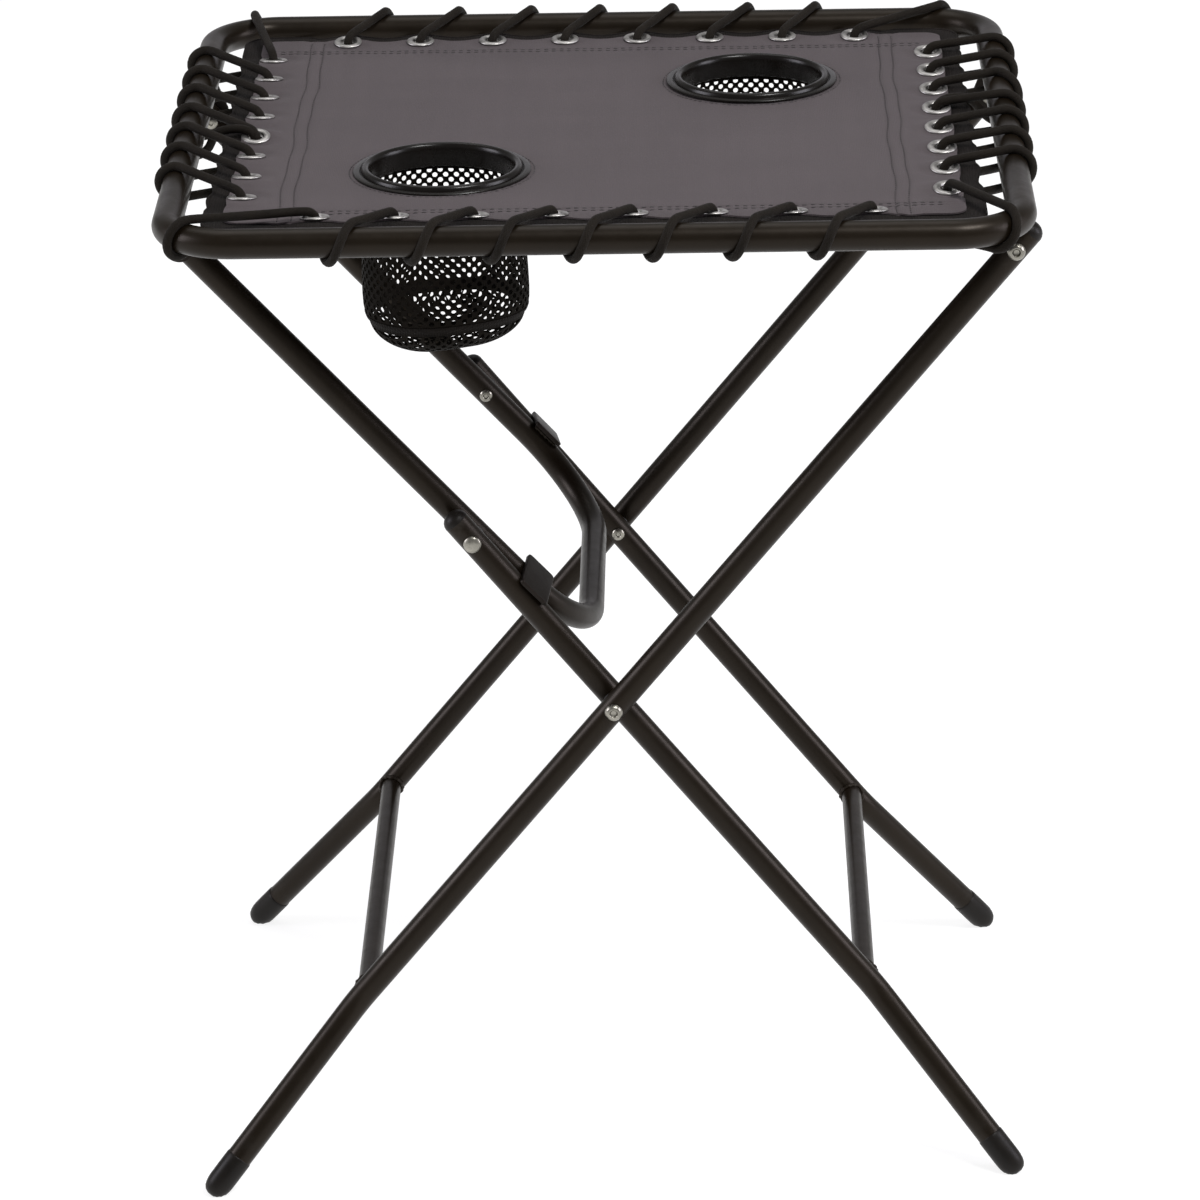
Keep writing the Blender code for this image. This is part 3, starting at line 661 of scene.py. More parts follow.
def flat_cloth(name, outlines, lines_x, lines_y):
    """Triangles that fill the first outline, less the others, with an even grid inside."""
    rim = np.array([q for line in outlines for q in line], float)
    edges, base = [], 0
    for line in outlines:
        n = len(line)
        edges += [(base + i, base + (i + 1) % n) for i in range(n)]
        base += n
    gx, gy = np.meshgrid(np.asarray(lines_x), np.asarray(lines_y), indexing="ij")
    G = np.stack([gx.ravel(), gy.ravel()], 1)
    ok = inside(G, outlines[0])
    for line in outlines[1:]:
        ok &= ~inside(G, line)
    G = G[ok]
    far_ok = np.ones(len(G), bool)
    for q in rim:
        far_ok &= ((G[:, 0] - q[0]) ** 2 + (G[:, 1] - q[1]) ** 2) > 0.0011 ** 2
    G = G[far_ok]
    pts = [Vector(q) for q in np.vstack([rim, G])]
    V, _, T, *_ = delaunay_2d_cdt(pts, edges, [], 0, 1e-7)
    C = np.array([[sum(V[i].x for i in t) / 3, sum(V[i].y for i in t) / 3] for t in T])
    keep = inside(C, outlines[0])
    for line in outlines[1:]:
        keep &= ~inside(C, line)
    bm = bmesh.new()
    vs = [bm.verts.new((v.x, v.y, 0)) for v in V]
    for t, k in zip(T, keep):
        if k:
            bm.faces.new([vs[i] for i in t])
    bmesh.ops.delete(bm, geom=[v for v in bm.verts if not v.link_faces], context="VERTS")
    bm.normal_update()
    for f in bm.faces:
        if f.normal.z < 0:
            f.normal_flip()
    return bm


def finish_cloth(bm, name, mat, z0, thick, drop=None, edge=None):
    co = np.array([v.co[:] for v in bm.verts], float)
    dz = cloth_z(co[:, 0], co[:, 1])
    if drop is not None:
        dz = dz + drop(co[:, 0], co[:, 1])
    for v, z in zip(bm.verts, dz):
        v.co.z = z0 + z
    me = bpy.data.meshes.new(name)
    bm.to_mesh(me)
    bm.free()
    ob = bpy.data.objects.new(name, me)
    bpy.context.scene.collection.objects.link(ob)
    md = ob.modifiers.new("Solid", "SOLIDIFY")
    md.thickness = thick
    md.offset = -1.0
    dg = bpy.context.evaluated_depsgraph_get()
    done = bpy.data.meshes.new_from_object(ob.evaluated_get(dg))
    ob.modifiers.clear()
    ob.data = done
    done.polygons.foreach_set("use_smooth", [True] * len(done.polygons))
    done.set_sharp_from_angle(angle=math.radians(35))
    done.materials.clear()
    done.materials.append(mat)
    return ob


def grid_lines(half, step, extra=()):
    n = int(half / step)
    out = [i * step for i in range(-n, n + 1)]
    return sorted(set(round(c, 6) for c in out + list(extra)))


panel_line = scallop(round_rect(SL_HX + PANEL_X, SL_HY + PANEL_Y, 0.0100, 10), 0.0014)
holes = [circle(x, y, 0.00475, 20) for _, _, x, y in eye_list]
cup_cuts = [circle(cx, cy, 0.0465, 96) for cx, cy in CUP.values()]
hem_cuts = [s * (h + d) for s in (-1, 1) for h in HEM_X
            for d in (-0.0028, -0.0014, 0.0, 0.0014, 0.0028)]
row_cuts = [h + d for h in HEM_Y.values() for d in (-0.0013, 0.0, 0.0013)]


def hem_wave(y):
    """A sewn line wanders a little as the cloth is fed."""
    return 0.0007 * np.sin(np.asarray(y) * 43 + 0.6) + 0.0004 * np.sin(np.asarray(y) * 97 + 2.0)


def stitch_dip(x, y):
    """The stitching pulls the cloth down into shallow grooves, and the hem stands a little higher."""
    z = np.zeros_like(x)
    for h in HEM_X:
        z -= 0.00050 * np.exp(-((np.abs(x) - h - hem_wave(y)) / 0.0013) ** 2)
    for h in HEM_Y.values():
        z -= 0.00030 * np.exp(-((y - h) / 0.0009) ** 2)
    z += 0.00035 / (1 + np.exp(-(np.abs(x) - HEM_X[0]) / 0.0006))
    for cx, cy in CUP.values():
        d = np.hypot(x - cx, y - cy)
        z -= 0.00030 * np.exp(-((d - 0.0562) / 0.0012) ** 2)
    return z


bm = flat_cloth("sling", [panel_line] + cup_cuts + holes,
                grid_lines(SL_HX + PANEL_X, 0.0045, hem_cuts),
                grid_lines(SL_HY + PANEL_Y, 0.0045, row_cuts))
sling = finish_cloth(bm, "sling_cloth", M_SLING, SL_Z, 0.0010, stitch_dip)
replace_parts(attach(sling, "tabletop"), "sling_panel")

# ---- dark under layer whose edge shows all round, with its rolled hem
band_line = scallop(round_rect(SL_HX + BAND_X, SL_HY + BAND_Y, 0.0165, 12), 0.0022)
band_hole = round_rect(SL_HX - BAND_IN, SL_HY - BAND_IN, 0.0100, 6, 0.008)
bm = flat_cloth("band", [band_line, band_hole] + holes,
                grid_lines(SL_HX + BAND_X, 0.0060), grid_lines(SL_HY + BAND_Y, 0.0060))
band = finish_cloth(bm, "edge_band_cloth", M_BAND, SL_Z - 0.0013, 0.0011,
                    lambda x, y: np.where(
                        (np.abs(x) > SL_HX + PANEL_X) | (np.abs(y) > SL_HY + PANEL_Y),
                        0.0004, 0.0))
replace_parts(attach(band, "tabletop"), "edge_band")

hem_pts = []
for x, y in band_line:
    z = SL_Z - 0.0014 + float(cloth_z(x, y))
    hem_pts.append((x * 0.9975, y * 0.9975, z))
hem = tube("edge_band_hem", hem_pts, 0.00115, M_BAND, 12, closed=True)
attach(hem, "tabletop")


# ------------------------------------------------------------------- stitching
def stitches(name, line, pitch=0.0042, length=0.0031, r=0.00042, lift=0.00015, dip=True):
    """Separate thread stitches along a line, each one a small arched grain."""
    line = np.asarray(line, float)
    L = np.concatenate([[0], np.cumsum(np.linalg.norm(np.diff(line, axis=0), axis=1))])
    V, F = [], []
    rng = np.random.default_rng(7)
    for s in np.arange(pitch / 2, L[-1] - pitch / 2, pitch):
        s += rng.uniform(-1, 1) * 0.0002
        ends = [np.array([np.interp(s + d, L, line[:, k]) for k in range(2)])
                for d in (-length / 2, length / 2)]
        mid = (ends[0] + ends[1]) / 2
        t = ends[1] - ends[0]
        t = t / np.linalg.norm(t)
        t = t + np.array([-t[1], t[0]]) * rng.uniform(-1, 1) * 0.06
        side = np.array([-t[1], t[0]])
        base = len(V)
        for a, (off, rr, up) in enumerate(((-0.5, 0.0, -0.5), (-0.36, 0.85, 0.1), (0.0, 1.0, 0.6),
                                           (0.36, 0.85, 0.1), (0.5, 0.0, -0.5))):
            c = mid + t * off * length
            z = SL_Z + float(cloth_z(c[0], c[1]))
            if dip:
                z += float(stitch_dip(np.array([c[0]]), np.array([c[1]]))[0])
            z += lift + up * 0.00025
            if rr == 0:
                V.append((c[0], c[1], z))
            else:
                for k in range(6):
                    q = 2 * math.pi * k / 6
                    V.append((c[0] + side[0] * r * rr * math.cos(q),
                              c[1] + side[1] * r * rr * math.cos(q),
                              z + r * rr * math.sin(q)))
        i0, rows, i1 = base, [base + 1, base + 7, base + 13], base + 19
        for k in range(6):
            k2 = (k + 1) % 6
            F.append((i0, rows[0] + k2, rows[0] + k))
            F.append((rows[2] + k, rows[2] + k2, i1))
            for m in range(2):
                F.append((rows[m] + k, rows[m] + k2, rows[m + 1] + k2, rows[m + 1] + k))
    ob = make(name, V, F, M_THREAD, 60.0)
    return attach(ob, "tabletop")


for sx, tag in ((-1, "left"), (1, "right")):
    for j, h in enumerate(HEM_X):
        stitches("stitches_%s_%d" % (tag, j + 1),
                                      [(sx * (h + hem_wave(y)), y)
                                       for y in np.linspace(-0.1965, 0.1965, 90)])
for tag, h in HEM_Y.items():
    stitches("stitches_" + tag, [(-0.208, h), (0.208, h)], 0.0050, 0.0030)
for tag, (cx, cy) in CUP.items():
    ring_line = [(cx + 0.0562 * math.cos(2 * math.pi * i / 120),
                  cy + 0.0562 * math.sin(2 * math.pi * i / 120)) for i in range(121)]
    stitches("stitches_cup_" + tag, ring_line, 0.0040, 0.0030)


# -------------------------------------------------------------------- grommets
def grommet_profile():
    up = [(0.0088, 0.0001), (0.0090, 0.0004), (0.00895, 0.0008), (0.0086, 0.0012),
          (0.0079, 0.00155), (0.0070, 0.0017), (0.0061, 0.0016), (0.0054, 0.0013),
          (0.0049, 0.0008), (0.0046, 0.0001), (0.0045, -0.0010)]
    down = [(0.0045, -0.0024), (0.0046, -0.0031), (0.0050, -0.0036), (0.0057, -0.0038),
            (0.0065, -0.0036), (0.0076, -0.0033), (0.0087, -0.0031), (0.0089, -0.0029),
            (0.0087, -0.0027), (0.0052, -0.0027), (0.0052, 0.0001)]
    return up + down


gprof = grommet_profile()
for side, i, ex, ey in eye_list:
    ang = math.atan(tilt_of(side, i))
    z = SL_Z + float(cloth_z(ex, ey)) + 0.0002
    m = Matrix.Translation((ex, ey, z)) @ Matrix.Rotation(ang, 4, "X") \
        @ Matrix.Rotation(math.radians(37 * i), 4, "Z")
    g = turned("grommet_%s_%d" % (side, i + 1), gprof, 44, M_GROMMET, m, closed=True, angle=50)
    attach(g, "tabletop")

# ------------------------------------------------------------------ cup holders
ring_prof = [
    (0.0537, 0.00005), (0.0540, 0.0004), (0.05395, 0.0010), (0.0536, 0.0014), (0.0530, 0.0016),
    (0.0512, 0.00175), (0.0502, 0.0018), (0.0497, 0.0015), (0.0494, 0.0010), (0.0491, 0.0012),
    (0.0489, 0.0020), (0.0486, 0.0031), (0.0480, 0.0039), (0.0471, 0.0044), (0.0461, 0.00445),
    (0.0452, 0.0041), (0.0444, 0.0033), (0.0439, 0.0020), (0.0437, 0.0004), (0.0436, -0.0040),
    (0.0436, -0.0085), (0.0438, -0.0097), (0.0444, -0.0102), (0.0452, -0.0102),
    (0.0458, -0.0098), (0.0460, -0.0088), (0.0460, -0.0012), (0.0461, 0.00005)]
clamp_prof = [
    (0.0463, -0.0016), (0.0528, -0.0016), (0.0534, -0.0018), (0.0535, -0.0024),
    (0.0533, -0.0034), (0.0526, -0.0041), (0.0515, -0.0044), (0.0475, -0.0044),
    (0.0466, -0.0041), (0.0463, -0.0034)]

# the pouch's outline below the cloth: radius against height
WALL = [(0.0478, -0.0050), (0.0486, -0.0120), (0.0490, -0.0250), (0.0494, -0.0450),
        (0.0499, -0.0640), (0.0500, -0.0740), (0.0497, -0.0805), (0.0489, -0.0850),
        (0.0474, -0.0880)]
FLOOR_R = 0.0466
FLOOR_DEEP = 0.0218


def wall_at(v):
    """Radius and height at a distance v down the wall."""
    W = np.array(WALL)
    L = np.concatenate([[0], np.cumsum(np.linalg.norm(np.diff(W, axis=0), axis=1))])
    return np.interp(v, L, W[:, 0]), np.interp(v, L, W[:, 1]), L[-1]


def floor_z(r):
    t = np.clip(r / FLOOR_R, 0, 1)
    return -0.0884 - FLOOR_DEEP * np.sqrt(np.clip(1 - t**2.1, 0, 1))


def sway(x, y, z, cx, cy, seed):
    """A soft bag is never a true cylinder: it leans, dents and hangs a little lower on one side."""
    a = np.arctan2(y, x)
    deep = np.clip(-z / 0.11, 0, 1)
    f = 1 + deep * (0.018 * np.sin(2 * a + seed) + 0.014 * np.sin(3 * a + 2.1 * seed)
                    + 0.010 * np.sin(5 * a - seed + 30 * z)) \
        + 0.004 * np.sin(7 * a + 60 * z + seed) * deep
    x2, y2 = x * f, y * f
    z2 = z + deep**2 * (0.042 * x + 0.010 * y * math.cos(seed)) \
        - 0.0010 * deep * np.cos(3 * a + seed)
    return cx + x2, cy + y2, SL_Z + z2


CELL_IN = 0.50        # hole radius over the lattice's half diagonal


def lattice_cell(cu, cv, hu, hv, seg=12, hole=CELL_IN):
    """Boundary of a diamond cell and of the round hole in it, matched point for point."""
    out, inn = [], []
    for k in range(seg):
        a = 2 * math.pi * k / seg
        c, s = math.cos(a), math.sin(a)
        q = 1.0 / (abs(c) + abs(s))
        out.append((cu + hu * c * q, cv + hv * s * q))
        inn.append((cu + hu * c * hole, cv + hv * s * hole))
    return out, inn


def thicken(ob, thick):
    md = ob.modifiers.new("Solid", "SOLIDIFY")
    md.thickness = thick
    md.offset = 0.0
    dg = bpy.context.evaluated_depsgraph_get()
    done = bpy.data.meshes.new_from_object(ob.evaluated_get(dg))
    ob.modifiers.clear()
    ob.data = done
    done.polygons.foreach_set("use_smooth", [True] * len(done.polygons))
    done.set_sharp_from_angle(angle=math.radians(50))
    return ob


def weld(ob, dist=1e-5):
    bm = bmesh.new()
    bm.from_mesh(ob.data)
    bmesh.ops.remove_doubles(bm, verts=bm.verts, dist=dist)
    bm.to_mesh(ob.data)
    bm.free()
    return ob


COLS, ROWS = 46, 23


def pouch(tag, cx, cy, seed):
    side_len = float(wall_at(0)[2])
    v_top, v_low = 0.0060, side_len - 0.0030
    du = 2 * math.pi / COLS
    dv = (v_low - v_top) / ROWS            # height of one half row
    V, F = [], []
    for row in range(ROWS - 1):
        for col in range(COLS):
            cu = du * (col + 0.5 * (row % 2))
            cv = v_top + dv * (row + 1)
            out, inn = lattice_cell(cu, cv, du / 2, dv)
            b = len(V)
            n = len(out)
            V += out + inn
            for k in range(n):
                k2 = (k + 1) % n
                F.append((b + k, b + k2, b + n + k2, b + n + k))
    # plain selvedge triangles at both ends of the lattice
    for row, cv0, edge in ((0, v_top, 1), (ROWS - 2, v_low, -1)):
        for col in range(COLS):
            cu = du * (col + 0.5 * (row % 2))
            cvm = v_top + dv * (row + 1)
            b = len(V)
            tip = (cu, cvm - edge * dv)
            l, r_ = (cu - du / 2, cvm), (cu + du / 2, cvm)
            V += [tip, (cu + du, cvm - edge * dv), r_]
            F.append((b, b + 1, b + 2))
    UVc = np.array(V)
    r, z, _ = wall_at(UVc[:, 1])
    x, y = r * np.cos(UVc[:, 0]), r * np.sin(UVc[:, 0])
    X, Y, Z = sway(x, y, z, cx, cy, seed)
    wall = make("pouch_wall_" + tag, np.stack([X, Y, Z], 1), F, M_MESH, 50)
    thicken(weld(wall), 0.0007)

    # floor of the pouch: the same lattice laid flat, dished by the weight of the cloth
    V, F = [], []
    h = 0.00335
    nmax = int(FLOOR_R / h) + 1
    for a in range(-nmax, nmax + 1):
        for c in range(-nmax, nmax + 1):
            if (a + c) % 2:
                continue
            cu, cv = a * h, c * h
            if math.hypot(cu, cv) > FLOOR_R - 0.0012:
                continue
            out, inn = lattice_cell(cu, cv, h, h)
            b = len(V)
            n = len(out)
            V += out + inn
            for k in range(n):
                k2 = (k + 1) % n
                F.append((b + k, b + k2, b + n + k2, b + n + k))
    XY = np.array(V)
    rr = np.hypot(XY[:, 0], XY[:, 1])
    k = np.where(rr > FLOOR_R, FLOOR_R / np.maximum(rr, 1e-9), 1.0)
    XY = XY * k[:, None]
    z = floor_z(np.hypot(XY[:, 0], XY[:, 1]))
    X, Y, Z = sway(XY[:, 0], XY[:, 1], z, cx, cy, seed)
    base = make("pouch_floor_" + tag, np.stack([X, Y, Z], 1), F, M_MESH, 50)
    thicken(weld(base), 0.0007)

    # tape hems: one under the ring, one round the seam of the floor
    def hem_ring(name, rows, thick):
        V, F, n = [], [], 120
        for r, z in rows:
            for k in range(n):
                a = 2 * math.pi * k / n
                V.append((r * math.cos(a), r * math.sin(a), z))
        for i in range(len(rows) - 1):
            for k in range(n):
                k2 = (k + 1) % n
                F.append((i * n + k, i * n + k2, (i + 1) * n + k2, (i + 1) * n + k))
        W = np.array(V)
        X, Y, Z = sway(W[:, 0], W[:, 1], W[:, 2], cx, cy, seed)
        return thicken(make(name, np.stack([X, Y, Z], 1), F, M_HEM, 50), thick)

    upper = hem_ring("pouch_hem_upper_" + tag,
                     [(0.0470, -0.0049), (0.0482, -0.0070), (0.0487, -0.0105), (0.0490, -0.0135)],
                     0.0011)
    lower = hem_ring("pouch_hem_lower_" + tag,
                     [(0.0490, -0.0848), (0.0483, -0.0868), (0.0472, -0.0882), (0.0464, -0.0893),
                      (0.0461, -0.0910)],
                     0.0012)
    parts = [wall, base, upper, lower]
    for p in parts:
        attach(p, "tabletop")
        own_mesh(p)
    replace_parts(wall, "mesh_pouch_" + tag)
    return parts


for tag, (cx, cy) in CUP.items():
    zc = SL_Z + float(cloth_z(cx + 0.0510, cy))
    at = Matrix.Translation((cx, cy, zc))
    cr = turned("cup_ring_" + tag, ring_prof, 112, M_RING, at, closed=True, angle=30)
    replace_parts(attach(cr, "tabletop"), "cup_ring_" + tag)
    rr = turned("clamp_ring_" + tag, clamp_prof, 96, M_RING, at, closed=True, angle=40)
    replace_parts(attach(rr, "tabletop"), "retaining_ring_" + tag)
    pouch(tag, cx, cy, 0.8 if tag == "left" else 2.6)


# ======================================================================= lacing
def rail_at(s):
    """Point and outward normal of the frame centreline; sides and corners count 1 each."""
    s = s % 8
    k = int(s)
    f = s - k
    hx, hy, r = RAIL_HX - RAIL_RC, RAIL_HY - RAIL_RC, RAIL_RC
    if k == 0:
        return np.array([-hx + 2 * hx * f, RAIL_HY]), np.array([0.0, 1.0])
    if k == 2:
        return np.array([RAIL_HX, hy - 2 * hy * f]), np.array([1.0, 0.0])
    if k == 4:
        return np.array([hx - 2 * hx * f, -RAIL_HY]), np.array([0.0, -1.0])
    if k == 6:
        return np.array([-RAIL_HX, -hy + 2 * hy * f]), np.array([-1.0, 0.0])
    cx, cy, a0 = {1: (hx, hy, 90), 3: (hx, -hy, 0), 5: (-hx, -hy, -90), 7: (-hx, hy, 180)}[k]
    a = math.radians(a0 - 90 * f)
    n = np.array([math.cos(a), math.sin(a)])
    return np.array([cx, cy]) + n * r, n


def side_s(side, x, y):
    hx, hy = RAIL_HX - RAIL_RC, RAIL_HY - RAIL_RC
    return {"far": (x + hx) / (2 * hx), "right": 2 + (hy - y) / (2 * hy),
            "near": 4 + (hx - x) / (2 * hx), "left": 6 + (y + hy) / (2 * hy)}[side]


RWV = RAIL_D / 2 + CORD_D / 2 - 0.00015


def on_rail(s, deg, rw=RWV):
    c, n = rail_at(s)
    a = math.radians(deg)
    p = c - n * rw * math.cos(a)
    return np.array([p[0], p[1], RAIL_Z + rw * math.sin(a)])


def v3(x, y, z):
    return np.array([x, y, z], float)


def flat_dir(a, b):
    d = np.array([b[0] - a[0], b[1] - a[1], 0.0])
    return d / np.linalg.norm(d)


def turn(g0, s_top, s_low, g1, first=False, last=False):
    """Up through one eyelet, over and round the frame tube, back under the cloth to the next."""
    c, n = rail_at(s_top)
    a = v3(g0[0], g0[1], SL_Z + float(cloth_z(*g0)))
    out = flat_dir(a, c)
    pts = []
    if first:
        pts += [a + v3(0, 0, -0.0120), a + v3(0, 0, -0.0080)]
    pts += [a - out * 0.0006 + v3(0, 0, -0.0030), a - out * 0.0002 + v3(0, 0, 0.0010),
            a + out * 0.0030 + v3(0, 0, 0.0042)]
    q = on_rail(s_top, 84)
    p = a + out * 0.0085 + v3(0, 0, 0.0053)
    far_ = np.linalg.norm(q - p)
    pts.append(p)
    for k in ((0.33, 0.66) if far_ > 0.03 else (0.5,)):
        pts.append(p + (q - p) * k)
    degs = (84, 104, 126, 150, 174, 198, 222, 246, 268, 284)
    for deg in degs:
        u = (deg - 84) / 200
        pts.append(on_rail(s_top + (s_low - s_top) * u, deg))
    if not last:
        b = v3(g1[0], g1[1], SL_Z + float(cloth_z(*g1)))
        cl, _ = rail_at(s_low)
        back = flat_dir(b, cl)
        w = b + back * 0.0095 + v3(0, 0, -0.0072)
        e = pts[-1]
        pts += [e + (w - e) * 0.35, e + (w - e) * 0.7, w,
                b + back * 0.0035 + v3(0, 0, -0.0062)]
    return pts


far = [(x, SL_HY - 0.0005) for x in EYE_X]
right = [(SL_HX - 0.0005, y) for y in reversed(EYE_Y)]
near = [(x, -SL_HY + 0.0005) for x in reversed(EYE_X)]
left = [(-SL_HX + 0.0005, y) for y in EYE_Y]
rng = np.random.default_rng(11)


def side_turns(side, eyes, lo, hi, special=None, loose=0.035):
    out = []
    for j in range(len(eyes) - 1):
        s0, s1 = side_s(side, *eyes[j]), side_s(side, *eyes[j + 1])
        a, b = (special or {}).get(j, (lo, hi))
        w = rng.uniform(-1, 1) * loose
        out.append((eyes[j], s0 + (s1 - s0) * (a + w), s0 + (s1 - s0) * (b + w), eyes[j + 1]))
    return out


turns_far = side_turns("far", far, 0.48, 0.72)
turns_right = side_turns("right", right, -0.15, -0.08,
                         special={0: (-0.02, 0.04), 2: (-0.15, 0.62), 3: (0.02, 0.10)},
                         loose=0.02)
turns_near = side_turns("near", near, 0.45, 0.80)
turns_left = side_turns("left", left, 0.88, 1.15, loose=0.02)
corner_fr = (far[7], 1.16, 1.30, right[0])
corner_nr = (right[7], 3.43, 3.62, near[0])
corner_nl = (near[7], 5.46, 5.58, left[0])
corner_fl = (left[7], 7.72, 7.95, far[0])
MID = 3


def lace(name, turns, end_eye, side_shift):
    pts = []
    for i, (g0, st, sl, g1) in enumerate(turns):
        pts += turn(g0, st, sl, g1, first=(i == 0), last=(i == len(turns) - 1))
    g0, st, sl, g1 = turns[-1]
    e = v3(end_eye[0], end_eye[1], SL_Z + float(cloth_z(*end_eye)))
    cl, _ = rail_at(sl)
    back = flat_dir(e, cl)
    side = v3(-back[1], back[0], 0) * side_shift
    pts += [on_rail(sl, 305, RWV + 0.0004), on_rail(sl, 330, RWV + 0.0012),
            e + back * 0.0245 + side + v3(0, 0, 0.0022),
            e + back * 0.0165 + side + v3(0, 0, 0.0048),
            e + back * 0.0075 + side * 0.9 + v3(0, 0, 0.0050),
            e + back * 0.0020 + side * 0.5 + v3(0, 0, 0.0026),
            e + side * 0.4 + v3(0, 0, -0.0040)]
    P = curve_through(pts, 0.0016)
    ob = tube(name, P, CORD_D / 2, M_CORD, 18, round_ends=True,
              wobble=lambda i, th: 1 + 0.020 * np.sin(i * 1.9 + 8 * th) * np.sin(i * 1.9 - 8 * th))
    L = float(np.linalg.norm(np.diff(P, axis=0), axis=1).sum())
    print("LACE", name, "length m", round(L, 3))
    return ob


lf = lace("lacing_front", turns_right[MID:] + [corner_nr] + turns_near + [corner_nl]
          + turns_left[:MID], left[MID], 0.0)
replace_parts(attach(lf, "tabletop"), "lace_front")
lr = lace("lacing_rear", turns_left[MID:] + [corner_fl] + turns_far + [corner_fr]
          + turns_right[:MID], right[MID], 0.0022)
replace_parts(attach(lr, "tabletop"), "lace_rear")


# ===================================================================== brackets
def plate_curve(name, splines, thickness, y, mat, bevel=0.0004):
    """A flat plate in an XZ plane with softly rounded cut edges."""
    cu = bpy.data.curves.new(name, "CURVE")
    cu.dimensions = "2D"
    cu.fill_mode = "BOTH"
    cu.extrude = thickness / 2 - bevel
    cu.bevel_depth = bevel
    cu.bevel_resolution = 2
    cu.offset = -bevel
    for pts in splines:
        sp = cu.splines.new("POLY")
        sp.points.add(len(pts) - 1)
        for p, (a, b) in zip(sp.points, pts):
            p.co = (a, b, 0, 1)
        sp.use_cyclic_u = True
    tmp = bpy.data.objects.new(name + "_tmp", cu)
    bpy.context.scene.collection.objects.link(tmp)
    dg = bpy.context.evaluated_depsgraph_get()
    me = bpy.data.meshes.new_from_object(tmp.evaluated_get(dg))
    bpy.data.objects.remove(tmp, do_unlink=True)
    me.name = name
    me.transform(Matrix.Translation((0, y, 0)) @ Matrix.Rotation(math.radians(90), 4, "X"))
    bm = bmesh.new()
    bm.from_mesh(me)
    bmesh.ops.remove_doubles(bm, verts=bm.verts, dist=1e-6)
    bmesh.ops.recalc_face_normals(bm, faces=bm.faces)
    bm.to_mesh(me)
    bm.free()
    me.polygons.foreach_set("use_smooth", [True] * len(me.polygons))
    me.set_sharp_from_angle(angle=math.radians(35))
    me.materials.clear()
    me.materials.append(mat)
    ob = bpy.data.objects.new(name, me)
    bpy.context.scene.collection.objects.link(ob)
    return ob


def bead(name, line, r, body, closed=True, seed=1):
    """A weld bead: a ring of overlapping ripples laid along a line."""
    P = curve_loop(line, 0.0006) if closed else curve_through(line, 0.0006)
    rg = np.random.default_rng(seed)
    ph = rg.uniform(0, 6.28)
    i = np.arange(len(P))
    R = r * (1 + 0.16 * np.sin(i * 0.95 + ph) + 0.05 * rg.standard_normal(len(P)))
    ob = tube(name, P, R, M_WELD, 12, closed=closed, round_ends=not closed)
    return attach(ob, body)


def curve_loop(line, step):
    line = np.asarray(line, float)
    P = curve_through(np.vstack([line[-2:], line, line[:3]]), step)
    # keep one full turn: from the first point of the line back to just before it
    d0 = np.linalg.norm(P - line[0], axis=1)
    n = len(P)
    a = int(np.argmin(np.where(np.arange(n) < n * 0.5, d0, 9)))
    b = int(np.argmin(np.where(np.arange(n) > n * 0.5, d0, 9)))
    return P[a:b]


def arc2(cx, cz, r, a0, a1, n):
    return [(cx + r * math.cos(math.radians(a0 + (a1 - a0) * i / n)),
             cz + r * math.sin(math.radians(a0 + (a1 - a0) * i / n))) for i in range(n + 1)]


Y_BA = Y_A - LEG_D / 2 - GAP - PLATE_T / 2
Y_BU = Y_U + LEG_D / 2 + GAP + PLATE_T / 2
for tag, sg in (("front", -1), ("rear", 1)):
    for word, rail_x, piv, y in (("leg", RAIL_HX, P1, Y_BA), ("bar", -RAIL_HX, P4, Y_BU)):
        r = RAIL_D / 2 - 0.0002
        pts = arc2(rail_x, RAIL_Z, r, 236, 304, 16)
        pts += [(piv.x + 0.0100, piv.y + 0.0050)]
        pts += arc2(piv.x, piv.y, 0.0100, 0, -180, 28)
        pts += [(piv.x - 0.0100, piv.y + 0.0050)]
        name = "%s_bracket_%s" % (word, tag)
        ob = plate_curve(name + "_plate", [pts], PLATE_T, sg * y, M_PLATE)
        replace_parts(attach(ob, "tabletop"), name)
        for face in (-1, 1):
            line = [(rail_x + (RAIL_D / 2 + 0.0002) * math.cos(math.radians(a)),
                     sg * y + face * (PLATE_T / 2 + 0.0003),
                     RAIL_Z + (RAIL_D / 2 + 0.0002) * math.sin(math.radians(a)))
                    for a in range(238, 303, 8)]
            bead("%s_weld_%s_%d" % (word, tag, 1 + (face > 0)), line, 0.0012, "tabletop",
                 closed=False, seed=5 + face)


# ========================================================================= legs
def leg_path(origin, d, above, sg, y, n=22):
    top = origin - d * above
    pts = [(top.x, sg * y, top.y)]
    bend = P2 + d * BEND_AT
    rb = 0.060
    t = rb * math.tan(SPLAY / 2)
    start = bend - d * t
    run_len = (Vector((start.x, start.y)) - Vector((top.x, top.y))).length
    for k in range(1, 14):
        q = top + d * (run_len * k / 14)
        pts.append((q.x, sg * y, q.y))
    for i in range(n + 1):
        a = SPLAY * i / n
        s = -t + rb * math.sin(a)
        o = rb * (1 - math.cos(a))
        q = bend + d * s
        pts.append((q.x, sg * (y + o), q.y))
    last = Vector(pts[-1])
    run = Vector((d.x * math.cos(SPLAY), sg * math.sin(SPLAY), d.y * math.cos(SPLAY)))
    k = (last.z - FOOT_Z) / -run.z
    for j in range(1, 4):
        pts.append(tuple(last + run * k * j / 3))
    return pts, run


